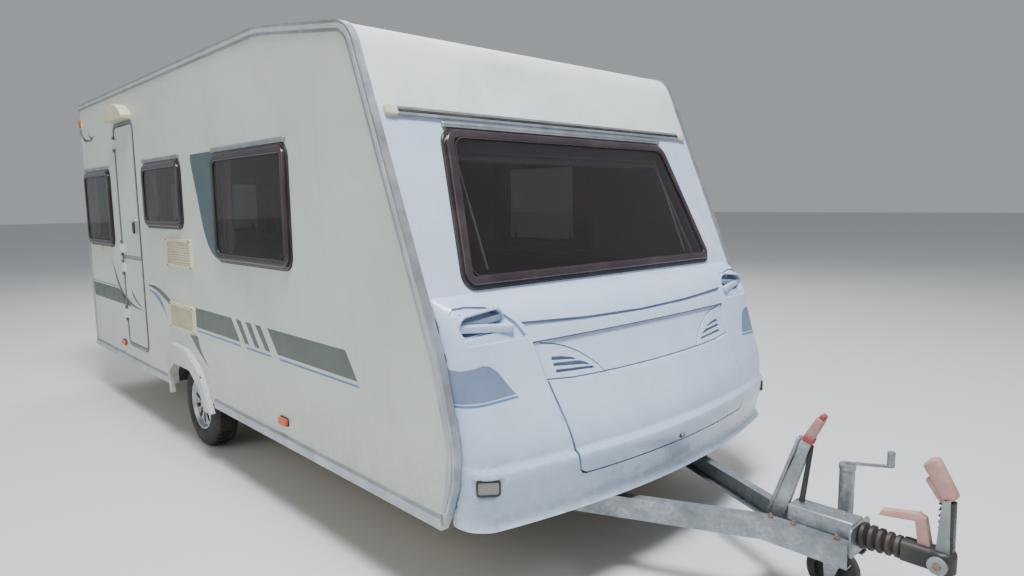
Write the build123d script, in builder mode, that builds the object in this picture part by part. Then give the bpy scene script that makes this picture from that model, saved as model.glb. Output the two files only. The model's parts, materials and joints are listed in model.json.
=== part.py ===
from build123d import *
import math
import os

# Travel caravan on a single axle, nose wheel down, ready to be hitched.
# Millimetres. +X points forwards to the coupling, +Y to the left, +Z up, the floor is z = 0.
# The origin is under the middle of the whole vehicle.

os.makedirs("parts", exist_ok=True)

# Driving dimensions of the living body
HALF_WIDTH = 1150.0
WALL = 30.0
INNER = HALF_WIDTH - WALL
REAR_X = -3335.0
BODY_FOOT = 405.0
ROOF_Z = 2553.0
FLOOR_TOP = 445.0
STRIP_Z = 2043.0
SCREEN_FOOT = 1290.0
TRIM_PROUD = 6.0
TRIM_WIDTH = 42.0

# Running gear
AXLE_X = -925.0
WHEEL_R = 298.0
TYRE_WIDTH = 165.0
RIM_R = 178.0
TRACK_HALF = 1000.0
ARM_REACH = 165.0
ARM_RISE = 52.0
TUBE_X = AXLE_X + ARM_REACH
TUBE_Z = WHEEL_R + ARM_RISE
TUBE_R = 54.0

# Chassis and drawbar
RAIL_Y = 640.0
RAIL_DEPTH = 160.0
RAIL_END = 1430.0
STEEL = 5.0
DRAWBAR_TOP = 358.0
DRAWBAR_DEPTH = 98.0
DRAWBAR_END = 3035.0
SHAFT_Z = 372.0
BALL_X = 3322.0
BALL_R = 25.0

# Nose wheel
NOSE_X = 2925.0
NOSE_Y = 158.0
NOSE_R = 105.0
NOSE_TRAIL = 38.0

# Entrance door, split into two leaves
DOOR_REAR_X = -2262.0
DOOR_FRONT_X = -1764.0
DOOR_FOOT = 553.0
DOOR_HEAD = 2287.0
DOOR_SPLIT = 1253.0
DOOR_GAP = 6.0
DOOR_HINGE_Y = -HALF_WIDTH - 12.0

# Front locker lid
LID_TOP = 1085.0
LID_FOOT = 555.0
LID_TOP_HALF = 733.0
LID_FOOT_HALF = 645.0
LID_GAP = 8.0
LID_TOP_X = 2005.0
LID_FOOT_X = 2225.0
LID_DRAFT = 0.08
LID_SIDE_SHARE = 1.35

# Side outline of the body: x, z, corner radius
OUTLINE = (
    (REAR_X, BODY_FOOT, 0.0),
    (REAR_X, ROOF_Z, 60.0),
    (450.0, ROOF_Z, 900.0),
    (1340.0, 2419.0, 170.0),
    (1905.0, 1060.0, 500.0),
    (1990.0, 730.0, 400.0),
    (1978.0, 580.0, 200.0),
    (1913.0, BODY_FOOT, 0.0),
)
SCREEN_TOP_POINT = OUTLINE[3]
SCREEN_LOW_POINT = OUTLINE[4]
SCREEN_RUN = SCREEN_LOW_POINT[0] - SCREEN_TOP_POINT[0]
SCREEN_FALL = SCREEN_TOP_POINT[1] - SCREEN_LOW_POINT[1]
SCREEN_LENGTH = math.hypot(SCREEN_RUN, SCREEN_FALL)
SCREEN_NORMAL = (SCREEN_FALL / SCREEN_LENGTH, 0.0, SCREEN_RUN / SCREEN_LENGTH)

# Plan sections of the moulded nose: z, x on the centre line, x at the shoulder, x at the side, wrap
NOSE_SHOULDER = 1020.0
NOSE_SIDE = INNER - 3.0
NOSE_WALL = 25.0
NOSE_UPPER = (
    (SCREEN_FOOT, 1814.0, 1812.0, 1809.4, 0.0),
    (1200.0, 1968.0, 1940.0, 1847.0, 1.0),
    (1085.0, 2030.0, 1985.0, 1893.0, 1.0),
    (870.0, 2130.0, 2048.0, 1953.0, 1.0),
    (656.0, 2224.0, 2092.0, 1981.0, 1.0),
)
NOSE_LEDGE = (
    NOSE_UPPER[-1],
    (644.0, 2244.0, 2108.0, 1982.0, 1.0),
)
NOSE_LOWER = (
    NOSE_LEDGE[-1],
    (560.0, 2236.0, 2102.0, 1968.0, 1.0),
    (470.0, 2206.0, 2078.0, 1937.0, 1.0),
    (BODY_FOOT, 2204.0, 2074.0, 1913.0, 1.0),
)

# Side windows: x of the middle, z of the middle, width, height
SIDE_WINDOWS = (
    (246.0, 1649.0, 980.0, 637.0),
    (-1182.0, 1738.0, 793.0, 459.0),
    (-2866.0, 1649.0, 813.0, 637.0),
)
WINDOW_RADIUS = 75.0
WINDOW_PROUD = 24.0
WINDOW_RIM = 52.0
WINDOW_LAP = 22.0
PANE = 5.0

# Front and rear windows: z of the middle along the wall, width, height
FRONT_WINDOW = (1645.0, 1700.0, 742.0)
REAR_WINDOW = (1650.0, 1150.0, 560.0)

# Refrigerator vents on the door side: x of the middle, z of the middle, width, height
VENTS = (
    (-910.0, 1348.0, 470.0, 195.0),
    (-932.0, 911.0, 466.0, 183.0),
)


def keep(piece, label):
    """Label a finished piece and write it to a STEP file of its own."""
    piece.part.label = label
    export_step(piece.part, f"parts/{label}.step")


def side_plane(y):
    """Plane along the vehicle at y, whose normal points to the right."""
    return Plane.XZ.offset(-y)


def outline(plane, grow=0.0):
    """Side outline of the body, grown outwards or inwards."""
    with BuildSketch(plane, mode=Mode.PRIVATE) as shape:
        with BuildLine():
            corners = [(x, z) for x, z, _ in OUTLINE]
            FilletPolyline(*corners, radius=[r for _, _, r in OUTLINE[1:-1]])
            Line(corners[-1], corners[0])
        make_face()
        if grow:
            offset(amount=grow, kind=Kind.INTERSECTION)
    return shape.sketch


def region(plane, *corners):
    """Straight-sided region that limits a wall."""
    with BuildSketch(plane, mode=Mode.PRIVATE) as shape:
        with BuildLine():
            Polyline(*corners, close=True)
        make_face()
    return shape.sketch


def rounded(plane, width, height, radius):
    """Rounded rectangle centred on a plane."""
    with BuildSketch(plane, mode=Mode.PRIVATE) as shape:
        RectangleRounded(width, height, radius)
    return shape.sketch


def screen_x(z):
    """x of the sloping front wall's outer face at height z."""
    return SCREEN_TOP_POINT[0] + (SCREEN_TOP_POINT[1] - z) * SCREEN_RUN / SCREEN_FALL


def screen_plane(z, proud=0.0):
    """Plane on the sloping front wall at height z, x to the left, y up along the wall."""
    base = Plane(origin=(screen_x(z), 0, z), x_dir=(0, 1, 0), z_dir=SCREEN_NORMAL)
    return base.offset(proud)


def nose_section(z, centre, shoulder, side, wrap):
    """Closed crescent of the moulded nose at height z, one wall thick."""
    outer_end = (side, NOSE_SIDE)
    inner_end = (side - NOSE_WALL * (1 - wrap), NOSE_SIDE - NOSE_WALL * wrap)
    inner_shoulder = NOSE_SHOULDER - NOSE_WALL * 0.6
    with BuildSketch(Plane.XY.offset(z), mode=Mode.PRIVATE) as shape:
        with BuildLine():
            front = ThreePointArc(
                (shoulder, -NOSE_SHOULDER), (centre, 0), (shoulder, NOSE_SHOULDER))
            left = TangentArc(front @ 1, outer_end, tangent=front % 1)
            right = TangentArc(front @ 0, (outer_end[0], -outer_end[1]), tangent=-(front % 0))
            back = ThreePointArc(
                (shoulder - NOSE_WALL, -inner_shoulder),
                (centre - NOSE_WALL, 0),
                (shoulder - NOSE_WALL, inner_shoulder))
            left_in = TangentArc(back @ 1, inner_end, tangent=back % 1)
            right_in = TangentArc(
                back @ 0, (inner_end[0], -inner_end[1]), tangent=-(back % 0))
            Line(left @ 1, left_in @ 1)
            Line(right @ 1, right_in @ 1)
        make_face()
    return shape.sketch


def nose_shell():
    """Whole nose moulding with no openings, as one wall."""
    with BuildPart(mode=Mode.PRIVATE) as shell:
        loft([nose_section(*row) for row in NOSE_UPPER])
        loft([nose_section(*row) for row in NOSE_LEDGE], ruled=True)
        loft([nose_section(*row) for row in NOSE_LOWER])
    return shell.part


def lid_outline(x, grow):
    """Front outline of the locker lid at x, whose side edges open outwards."""
    top_half = LID_TOP_HALF + LID_SIDE_SHARE * grow + (x - LID_TOP_X) * LID_DRAFT
    foot_half = LID_FOOT_HALF + LID_SIDE_SHARE * grow + (x - LID_FOOT_X) * LID_DRAFT
    top = LID_TOP + grow
    foot = LID_FOOT - grow
    with BuildSketch(Plane.YZ.offset(x), mode=Mode.PRIVATE) as shape:
        with BuildLine():
            FilletPolyline((-top_half, top), (-foot_half, foot), (foot_half, foot), (top_half, top),
                           radius=45 + grow)
            Line((top_half, top), (-top_half, top))
        make_face()
    return shape.sketch


def lid_prism(grow):
    """Outline of the locker lid, driven through the nose."""
    with BuildPart(mode=Mode.PRIVATE) as prism:
        loft([lid_outline(1850, grow), lid_outline(2350, grow)], ruled=True)
    return prism.part


# Roof, from the rear edge over the front corner down to the strip
with BuildPart() as roof:
    with BuildSketch(Plane.XZ) as roof_band:
        add(outline(Plane.XY))
        add(outline(Plane.XY, -WALL), mode=Mode.SUBTRACT)
        add(region(Plane.XY, (-3400, 2493), (-3400, 2700), (1800, 2700), (1800, STRIP_Z),
                   (1000, STRIP_Z), (1000, 2300), (-3200, 2300), (-3200, 2493)),
            mode=Mode.INTERSECT)
    extrude(amount=INNER, both=True)
    for hatch_x in (-2500.0, -350.0):
        with BuildSketch(Plane.XY.offset(ROOF_Z - 2 * WALL)):
            with Locations((hatch_x, 0)):
                RectangleRounded(460, 460, 45)
        extrude(amount=4 * WALL, mode=Mode.SUBTRACT)
keep(roof, "roof")

# Rear wall with its window opening
with BuildPart() as rear_wall:
    with BuildSketch(Plane.XZ):
        with Locations((REAR_X + WALL / 2, (BODY_FOOT + 2493) / 2)):
            Rectangle(WALL, 2493 - BODY_FOOT)
    extrude(amount=INNER, both=True)
    with BuildSketch(Plane.YZ.offset(REAR_X - WALL)):
        with Locations((0, REAR_WINDOW[0])):
            RectangleRounded(
                REAR_WINDOW[1] - 2 * WINDOW_LAP, REAR_WINDOW[2] - 2 * WINDOW_LAP,
                WINDOW_RADIUS - WINDOW_LAP)
    extrude(amount=3 * WALL, mode=Mode.SUBTRACT)
keep(rear_wall, "rear_wall")

# Sloping front wall with its window opening
with BuildPart() as front_wall:
    with BuildSketch(Plane.XZ):
        add(outline(Plane.XY))
        add(outline(Plane.XY, -WALL), mode=Mode.SUBTRACT)
        add(region(Plane.XY, (1000, STRIP_Z), (2000, STRIP_Z),
                   (2000, SCREEN_FOOT), (1000, SCREEN_FOOT)), mode=Mode.INTERSECT)
    extrude(amount=INNER, both=True)
    extrude(
        rounded(screen_plane(FRONT_WINDOW[0], -3 * WALL), FRONT_WINDOW[1] - 2 * WINDOW_LAP,
                FRONT_WINDOW[2] - 2 * WINDOW_LAP, WINDOW_RADIUS - WINDOW_LAP),
        amount=6 * WALL, mode=Mode.SUBTRACT)
keep(front_wall, "front_wall")

# Position lamps in the corners of the nose: distance back from the middle, y, z
NOSE_LAMP = (2052.0, 1040.0, 585.0)
LAMP_TURN = math.radians(38.5)


def nose_lamp_plane(side):
    """Plane of a position lamp, its normal pointing out of the nose's corner."""
    return Plane(origin=(NOSE_LAMP[0], side * NOSE_LAMP[1], NOSE_LAMP[2]),
                 x_dir=(-side * math.sin(LAMP_TURN), math.cos(LAMP_TURN), 0),
                 z_dir=(math.cos(LAMP_TURN), side * math.sin(LAMP_TURN), 0))


# Moulded nose below the front window
with BuildPart() as front_panel:
    add(nose_shell())
    add(lid_prism(LID_GAP), mode=Mode.SUBTRACT)
    for side in (-1, 1):
        extrude(rounded(nose_lamp_plane(side).offset(-40), 84, 52, 10), amount=160,
                mode=Mode.SUBTRACT)
    for side in (-1, 1):
        with BuildSketch(Plane.YZ.offset(1800)):
            with Locations((side * 955, 1188)):
                SlotOverall(235, 92, rotation=-side * 6)
        extrude(amount=400, mode=Mode.SUBTRACT)
keep(front_panel, "front_panel")

# Locker lid, cut from the same moulding
with BuildPart() as locker_lid:
    add(nose_shell())
    add(lid_prism(0), mode=Mode.INTERSECT)
keep(locker_lid, "locker_lid")

# Grab handles, each a cup behind the nose with a bar across it
with BuildPart() as grab_handles:
    for side in (-1, 1):
        with BuildSketch(Plane.YZ.offset(1850)):
            with Locations((side * 955, 1188)):
                SlotOverall(235, 92, rotation=-side * 6)
        extrude(amount=85)
        with BuildSketch(Plane.YZ.offset(1862)):
            with Locations((side * 955, 1188)):
                SlotOverall(225, 80, rotation=-side * 6)
        extrude(amount=90, mode=Mode.SUBTRACT)
        with BuildSketch(Plane.YZ.offset(1895)):
            with Locations((side * 955, 1188)):
                Rectangle(228, 24, rotation=-side * 6)
        extrude(amount=24)
keep(grab_handles, "grab_handles")

# Floor, notched for the two wheel boxes
BOX_INNER_Y = 870.0
BOX_RADIUS = 345.0
with BuildPart() as floor:
    with BuildSketch(Plane.XY.offset(BODY_FOOT)):
        with Locations(((REAR_X + WALL + 1890) / 2, 0)):
            Rectangle(1890 - REAR_X - WALL, 2 * INNER)
        with Locations((AXLE_X, BOX_INNER_Y + 200), (AXLE_X, -BOX_INNER_Y - 200)):
            Rectangle(2 * BOX_RADIUS, 400, mode=Mode.SUBTRACT)
    extrude(amount=FLOOR_TOP - BODY_FOOT)
keep(floor, "floor")

# Wheel boxes inside the body
with BuildPart() as wheel_boxes:
    for side in (-1, 1):
        with BuildSketch(side_plane(side * (BOX_INNER_Y + INNER) / 2)):
            with Locations((AXLE_X, WHEEL_R)):
                Circle(BOX_RADIUS)
            with Locations((AXLE_X, BODY_FOOT - 500)):
                Rectangle(2000, 1000, mode=Mode.SUBTRACT)
        extrude(amount=(INNER - BOX_INNER_Y) / 2, both=True)
        with BuildSketch(side_plane(side * (BOX_INNER_Y + 8 + INNER) / 2)):
            with Locations((AXLE_X, WHEEL_R)):
                Circle(BOX_RADIUS - 8)
        extrude(amount=(INNER - BOX_INNER_Y - 8) / 2, both=True, mode=Mode.SUBTRACT)
keep(wheel_boxes, "wheel_boxes")

# Wheel-arch outline on the side wall: x, z, corner radius
SPAT_OUTER = (
    (-1235.0, 345.0, 0.0),
    (-1262.0, 640.0, 70.0),
    (-1120.0, 724.0, 110.0),
    (-840.0, 708.0, 200.0),
    (-620.0, 592.0, 260.0),
    (-452.0, 345.0, 0.0),
)
SPAT_INNER = (
    (-1197.0, 345.0, 0.0),
    (-1212.0, 500.0, 60.0),
    (-1100.0, 576.0, 80.0),
    (-790.0, 572.0, 90.0),
    (-640.0, 476.0, 90.0),
    (-560.0, 345.0, 0.0),
)


def arch(plane, rows):
    """Arch-shaped face, flat at its foot."""
    with BuildSketch(plane, mode=Mode.PRIVATE) as shape:
        with BuildLine():
            corners = [(x, z) for x, z, _ in rows]
            FilletPolyline(*corners, radius=[r for _, _, r in rows[1:-1]])
            Line(corners[-1], corners[0])
        make_face()
    return shape.sketch


# Side walls with window openings, door opening, wheel arch and vent holes
for side, side_name in ((-1, "right"), (1, "left")):
    with BuildPart() as side_wall:
        extrude(outline(side_plane(side * INNER)), amount=-side * WALL)
        cut_plane = side_plane(side * (INNER - 50))
        for mid_x, mid_z, width, height in SIDE_WINDOWS:
            with BuildSketch(cut_plane):
                with Locations((mid_x, mid_z)):
                    RectangleRounded(width - 2 * WINDOW_LAP, height - 2 * WINDOW_LAP,
                                     WINDOW_RADIUS - WINDOW_LAP)
            extrude(amount=-side * 200, mode=Mode.SUBTRACT)
        extrude(arch(cut_plane, SPAT_INNER), amount=-side * 200, mode=Mode.SUBTRACT)
        if side < 0:
            door_mid = ((DOOR_REAR_X + DOOR_FRONT_X) / 2, (DOOR_FOOT + DOOR_HEAD) / 2)
            with BuildSketch(cut_plane):
                with Locations(door_mid):
                    RectangleRounded(DOOR_FRONT_X - DOOR_REAR_X, DOOR_HEAD - DOOR_FOOT, 60)
            extrude(amount=200, mode=Mode.SUBTRACT)
            for mid_x, mid_z, width, height in VENTS:
                with BuildSketch(cut_plane):
                    with Locations((mid_x, mid_z)):
                        Rectangle(width - 60, height - 50)
                extrude(amount=200, mode=Mode.SUBTRACT)
    keep(side_wall, f"side_wall_{side_name}")

# Wheel-arch mouldings
with BuildPart() as wheel_arches:
    for side in (-1, 1):
        extrude(arch(side_plane(side * HALF_WIDTH), SPAT_OUTER), amount=-side * 32)
        outer_face = wheel_arches.faces().filter_by(Axis.Y).sort_by(Axis.Y)[0 if side < 0 else -1]
        chamfer(outer_face.edges().filter_by(Axis.X, reverse=True), length=12)
        extrude(arch(side_plane(side * (HALF_WIDTH - 50)), SPAT_INNER), amount=-side * 120,
                mode=Mode.SUBTRACT)
keep(wheel_arches, "wheel_arches")

# Corner trims that cap the edge between side wall and roof, front and rear
with BuildPart() as corner_trims:
    for side in (-1, 1):
        face_plane = side_plane(side * HALF_WIDTH)
        extrude(outline(face_plane, TRIM_PROUD), amount=-side * TRIM_PROUD)
        extrude(outline(face_plane, TRIM_PROUD), amount=side * WALL)
        extrude(outline(face_plane, -TRIM_WIDTH), amount=-side * 50, mode=Mode.SUBTRACT)
        extrude(outline(face_plane), amount=side * 90, mode=Mode.SUBTRACT)
        with BuildSketch(side_plane(side * (HALF_WIDTH - 90))):
            with Locations((-700, 385)):
                Rectangle(5600, 140)
        extrude(amount=-side * 200, mode=Mode.SUBTRACT)
keep(corner_trims, "corner_trims")

# Sill skirts along the foot of both side walls, before and behind the wheel arch
SILL_TOP = 447.0
SILL_FOOT = 388.0
with BuildPart() as sills:
    for side in (-1, 1):
        wall_y = side * HALF_WIDTH
        for x_from, x_to in ((REAR_X, SPAT_OUTER[1][0]), (-430.0, 1905.0)):
            with BuildSketch(Plane.YZ.offset(x_from)):
                with BuildLine():
                    Polyline(
                        (wall_y, SILL_TOP), (wall_y + side * 5, SILL_TOP),
                        (wall_y + side * 12, SILL_TOP - 12), (wall_y + side * 12, SILL_FOOT + 4),
                        (wall_y + side * 8, SILL_FOOT), (wall_y - side * 30, SILL_FOOT),
                        (wall_y - side * 30, BODY_FOOT), (wall_y, BODY_FOOT), close=True)
                make_face()
            extrude(amount=x_to - x_from)
keep(sills, "sills")


def window_frame(plane, width, height):
    """Raised rim of a hinged window, with the opening through it."""
    extrude(rounded(plane, width, height, WINDOW_RADIUS), amount=WINDOW_PROUD, taper=8)
    extrude(rounded(plane.offset(-WINDOW_PROUD), width - 2 * WINDOW_RIM,
                    height - 2 * WINDOW_RIM, WINDOW_RADIUS - 25),
            amount=3 * WINDOW_PROUD, mode=Mode.SUBTRACT)
    extrude(rounded(plane.offset(WINDOW_PROUD - 12), width - 2 * WINDOW_RIM + 16,
                    height - 2 * WINDOW_RIM + 16, WINDOW_RADIUS - 17),
            amount=PANE, mode=Mode.SUBTRACT)


def window_pane(plane, width, height):
    """Tinted pane that sits in the rim's groove."""
    extrude(rounded(plane.offset(WINDOW_PROUD - 12), width - 2 * WINDOW_RIM + 16,
                    height - 2 * WINDOW_RIM + 16, WINDOW_RADIUS - 17), amount=PANE)


def side_window_plane(side, mid_x, mid_z):
    """Plane on the outer face of a side wall, its normal pointing outwards."""
    return Plane(origin=(mid_x, side * HALF_WIDTH, mid_z), x_dir=(-side, 0, 0),
                 z_dir=(0, side, 0))


REAR_WINDOW_PLANE = Plane(origin=(REAR_X, 0, REAR_WINDOW[0]), x_dir=(0, -1, 0), z_dir=(-1, 0, 0))
END_WINDOWS = (
    (screen_plane(FRONT_WINDOW[0]), FRONT_WINDOW[1], FRONT_WINDOW[2]),
    (REAR_WINDOW_PLANE, REAR_WINDOW[1], REAR_WINDOW[2]),
)
with BuildPart() as side_window_frames:
    for side in (-1, 1):
        for mid_x, mid_z, width, height in SIDE_WINDOWS:
            window_frame(side_window_plane(side, mid_x, mid_z), width, height)
keep(side_window_frames, "side_window_frames")

with BuildPart() as side_window_panes:
    for side in (-1, 1):
        for mid_x, mid_z, width, height in SIDE_WINDOWS:
            window_pane(side_window_plane(side, mid_x, mid_z), width, height)
keep(side_window_panes, "side_window_panes")

with BuildPart() as end_window_frames:
    for plane, width, height in END_WINDOWS:
        window_frame(plane, width, height)
keep(end_window_frames, "end_window_frames")

with BuildPart() as end_window_panes:
    for plane, width, height in END_WINDOWS:
        window_pane(plane, width, height)
keep(end_window_panes, "end_window_panes")

# Strip that joins the roof sheet to the front wall
with BuildPart() as front_strip:
    with BuildSketch(screen_plane(STRIP_Z)):
        Rectangle(2 * INNER - 70, 38)
    extrude(amount=14)
    with BuildSketch(screen_plane(STRIP_Z, 14)):
        Rectangle(2 * INNER - 70, 14)
    extrude(amount=-6, mode=Mode.SUBTRACT)
keep(front_strip, "front_strip")

# Door frame, let into the side wall, with a stop behind the leaves
DOOR_WIDTH = DOOR_FRONT_X - DOOR_REAR_X
DOOR_HEIGHT = DOOR_HEAD - DOOR_FOOT
DOOR_MID_X = (DOOR_REAR_X + DOOR_FRONT_X) / 2
DOOR_MID_Z = (DOOR_FOOT + DOOR_HEAD) / 2
DOOR_PLANE = Plane(origin=(DOOR_MID_X, -HALF_WIDTH, DOOR_MID_Z), x_dir=(1, 0, 0), z_dir=(0, -1, 0))
with BuildPart() as door_frame:
    extrude(rounded(DOOR_PLANE, DOOR_WIDTH + 24, DOOR_HEIGHT + 24, 70), amount=5)
    extrude(rounded(DOOR_PLANE, DOOR_WIDTH, DOOR_HEIGHT, 60), amount=-WALL - 18)
    extrude(rounded(DOOR_PLANE.offset(10), DOOR_WIDTH - 20, DOOR_HEIGHT - 20, 50),
            amount=-WALL - 17, mode=Mode.SUBTRACT)
    extrude(rounded(DOOR_PLANE.offset(10), DOOR_WIDTH - 56, DOOR_HEIGHT - 56, 36),
            amount=-90, mode=Mode.SUBTRACT)
    for hinge_z in (2150.0, 1330.0, 1175.0, 800.0):
        for z_from in (hinge_z - 62, hinge_z + 38):
            with BuildSketch(Plane.XY.offset(z_from)):
                with Locations((DOOR_REAR_X, DOOR_HINGE_Y)):
                    Circle(7)
                with Locations((DOOR_REAR_X - 6, -HALF_WIDTH - 8)):
                    Rectangle(12, 10)
            extrude(amount=24)
keep(door_frame, "door_frame")

# Two door leaves, each as thick as the wall
LEAF_HALF = DOOR_WIDTH / 2 - 10 - DOOR_GAP
LEAF_TOP = DOOR_HEAD - 10 - DOOR_GAP
LEAF_FOOT = DOOR_FOOT + 10 + DOOR_GAP
LEAF_RADIUS = 44.0
with BuildPart() as both_leaves:
    leaf_plane = Plane(origin=(DOOR_MID_X, -HALF_WIDTH + WALL, (LEAF_TOP + LEAF_FOOT) / 2),
                       x_dir=(1, 0, 0), z_dir=(0, -1, 0))
    extrude(rounded(leaf_plane, 2 * LEAF_HALF, LEAF_TOP - LEAF_FOOT, LEAF_RADIUS), amount=WALL)
for leaf_name, z_from, z_to, hinge_heights in (
        ("upper", DOOR_SPLIT + 3, 3000.0, (2150.0, 1330.0)),
        ("lower", 0.0, DOOR_SPLIT - 3, (1175.0, 800.0))):
    with BuildPart() as leaf:
        add(both_leaves.part)
        with BuildSketch(Plane.XY.offset(z_from)):
            with Locations((DOOR_MID_X, -HALF_WIDTH)):
                Rectangle(1000, 300)
        extrude(amount=z_to - z_from, mode=Mode.INTERSECT)
        for hinge_z in hinge_heights:
            with BuildSketch(Plane.XY.offset(hinge_z - 34)):
                with Locations((DOOR_REAR_X + 33, -HALF_WIDTH - 7)):
                    Rectangle(34, 14)
                with Locations((DOOR_REAR_X + 12, DOOR_HINGE_Y)):
                    Rectangle(24, 5)
                with Locations((DOOR_REAR_X, DOOR_HINGE_Y)):
                    Circle(7)
            extrude(amount=68)
        if leaf_name == "upper":
            with BuildSketch(Plane(origin=(-1835, -HALF_WIDTH, 1510), x_dir=(1, 0, 0),
                                   z_dir=(0, -1, 0))):
                RectangleRounded(52, 118, 20)
            extrude(amount=16)
            with BuildSketch(Plane(origin=(-1835, -HALF_WIDTH - 16, 1500), x_dir=(1, 0, 0),
                                   z_dir=(0, -1, 0))):
                RectangleRounded(24, 84, 10)
            extrude(amount=14)
    keep(leaf, f"door_{leaf_name}")

# Awning lamp over the door
LAMP_MID_X = -2010.0
LAMP_FOOT = 2312.0
with BuildPart() as awning_lamp:
    with BuildSketch(side_plane(-HALF_WIDTH)):
        with BuildLine():
            lamp_arch = ThreePointArc((LAMP_MID_X - 245, LAMP_FOOT + 22),
                                      (LAMP_MID_X, LAMP_FOOT + 118),
                                      (LAMP_MID_X + 245, LAMP_FOOT + 22))
            Polyline(lamp_arch @ 1, (LAMP_MID_X + 238, LAMP_FOOT),
                     (LAMP_MID_X - 238, LAMP_FOOT), lamp_arch @ 0)
        make_face()
    extrude(amount=72)
    fillet(awning_lamp.faces().sort_by(Axis.Y)[0].edges(), radius=10)
keep(awning_lamp, "awning_lamp")

# Refrigerator vents
with BuildPart() as fridge_vents:
    for mid_x, mid_z, width, height in VENTS:
        plane = side_window_plane(-1, mid_x, mid_z)
        extrude(rounded(plane, width, height, 14), amount=14)
        extrude(rounded(plane.offset(6), width - 50, height - 44, 6), amount=20,
                mode=Mode.SUBTRACT)
keep(fridge_vents, "fridge_vents")

# Side marker lamps: x, z
with BuildPart() as marker_lamps:
    for side in (-1, 1):
        for lamp_x, lamp_z in ((548.0, 523.0), (-2403.0, 538.0)):
            with BuildSketch(side_plane(side * HALF_WIDTH)):
                with Locations((lamp_x, lamp_z)):
                    RectangleRounded(96, 40, 14)
            extrude(amount=-side * 18)
keep(marker_lamps, "marker_lamps")

# Rear bumper moulding with its lamps
BUMPER_TOP = 640.0
BUMPER_FOOT = 392.0
BUMPER_DEPTH = 50.0
with BuildPart() as rear_bumper:
    with BuildSketch(Plane.XZ):
        with BuildLine():
            Polyline(
                (REAR_X, BUMPER_FOOT), (REAR_X - 30, BUMPER_FOOT),
                (REAR_X - BUMPER_DEPTH, BUMPER_FOOT + 40), (REAR_X - BUMPER_DEPTH, BUMPER_TOP - 60),
                (REAR_X - 20, BUMPER_TOP), (REAR_X, BUMPER_TOP), close=True)
        make_face()
    extrude(amount=INNER - 20, both=True)
keep(rear_bumper, "rear_bumper")

with BuildPart() as rear_lamps:
    for side in (-1, 1):
        with BuildSketch(Plane.YZ.offset(REAR_X - BUMPER_DEPTH)):
            with Locations((side * 880, 510)):
                RectangleRounded(330, 90, 20)
        extrude(amount=-5)
keep(rear_lamps, "rear_lamps")

# Front position lamps, let into the nose
with BuildPart() as front_lamps:
    for side in (-1, 1):
        extrude(rounded(nose_lamp_plane(side), 84, 52, 10), amount=40)
keep(front_lamps, "front_lamps")

# Roof hatches
with BuildPart() as roof_hatches:
    for hatch_x in (-2500.0, -350.0):
        with BuildSketch(Plane.XY.offset(ROOF_Z)):
            with Locations((hatch_x, 0)):
                RectangleRounded(460, 460, 45)
        extrude(amount=46, taper=14)
        with BuildSketch(Plane.XY.offset(ROOF_Z - WALL)):
            with Locations((hatch_x, 0)):
                RectangleRounded(460, 460, 45)
        extrude(amount=WALL)
        with BuildSketch(Plane.XY.offset(ROOF_Z - WALL)):
            with Locations((hatch_x, 0)):
                RectangleRounded(396, 396, 30)
        extrude(amount=WALL + 38, taper=8, mode=Mode.SUBTRACT)
keep(roof_hatches, "roof_hatches")

# Locker box behind the lid: bulkhead, shelf and floor
BULKHEAD_X = 1560.0
with BuildPart() as locker_box:
    with BuildSketch(Plane.XZ):
        with BuildLine():
            Polyline((BULKHEAD_X, FLOOR_TOP), (BULKHEAD_X, 1270), (1780, 1270), (1780, 1258),
                     (BULKHEAD_X + 12, 1258), (BULKHEAD_X + 12, FLOOR_TOP), close=True)
        make_face()
    extrude(amount=INNER, both=True)
keep(locker_box, "locker_box")

# Furniture seen through the windows: boards round a hollow, open at the floor
BOARD = 18.0
SEAT_TOP = 745.0
BED_TOP = 775.0
WORKTOP = 1325.0
SEAT_DEPTH = 640.0
SEAT_LENGTH = 1900.0
SEAT_X = 600.0
BED_LENGTH = 740.0


def footprint(mid, length, depth):
    """Rectangle on the cabin floor."""
    with BuildSketch(Plane.XY.offset(FLOOR_TOP), mode=Mode.PRIVATE) as shape:
        with Locations(mid):
            Rectangle(length, depth)
    return shape.sketch


def cabinet(mid, length, depth, top):
    """Board box with an open foot on the floor."""
    extrude(footprint(mid, length, depth), amount=top - FLOOR_TOP)
    extrude(footprint(mid, length - 2 * BOARD, depth - 2 * BOARD),
            amount=top - FLOOR_TOP - BOARD, mode=Mode.SUBTRACT)


def wheel_box_notch(side):
    """Space that a wheel box takes out of a cabinet."""
    extrude(footprint((AXLE_X, side * (INNER - 150)), 2 * BOX_RADIUS, 300),
            amount=WHEEL_R + BOX_RADIUS - FLOOR_TOP, mode=Mode.SUBTRACT)


with BuildPart() as front_seats:
    for side in (-1, 1):
        cabinet((SEAT_X, side * (INNER - SEAT_DEPTH / 2)), SEAT_LENGTH, SEAT_DEPTH, SEAT_TOP)
keep(front_seats, "front_seats")

with BuildPart() as kitchen_block:
    cabinet((-1250, INNER - 275), 1500, 550, WORKTOP)
    wheel_box_notch(1)
keep(kitchen_block, "kitchen_block")

with BuildPart() as fridge_cabinet:
    cabinet((-940, -INNER + 275), 560, 550, 1280)
    wheel_box_notch(-1)
keep(fridge_cabinet, "fridge_cabinet")

with BuildPart() as rear_bed:
    cabinet((REAR_X + WALL + BED_LENGTH / 2, 0), BED_LENGTH, 2 * INNER, BED_TOP)
keep(rear_bed, "rear_bed")

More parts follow.
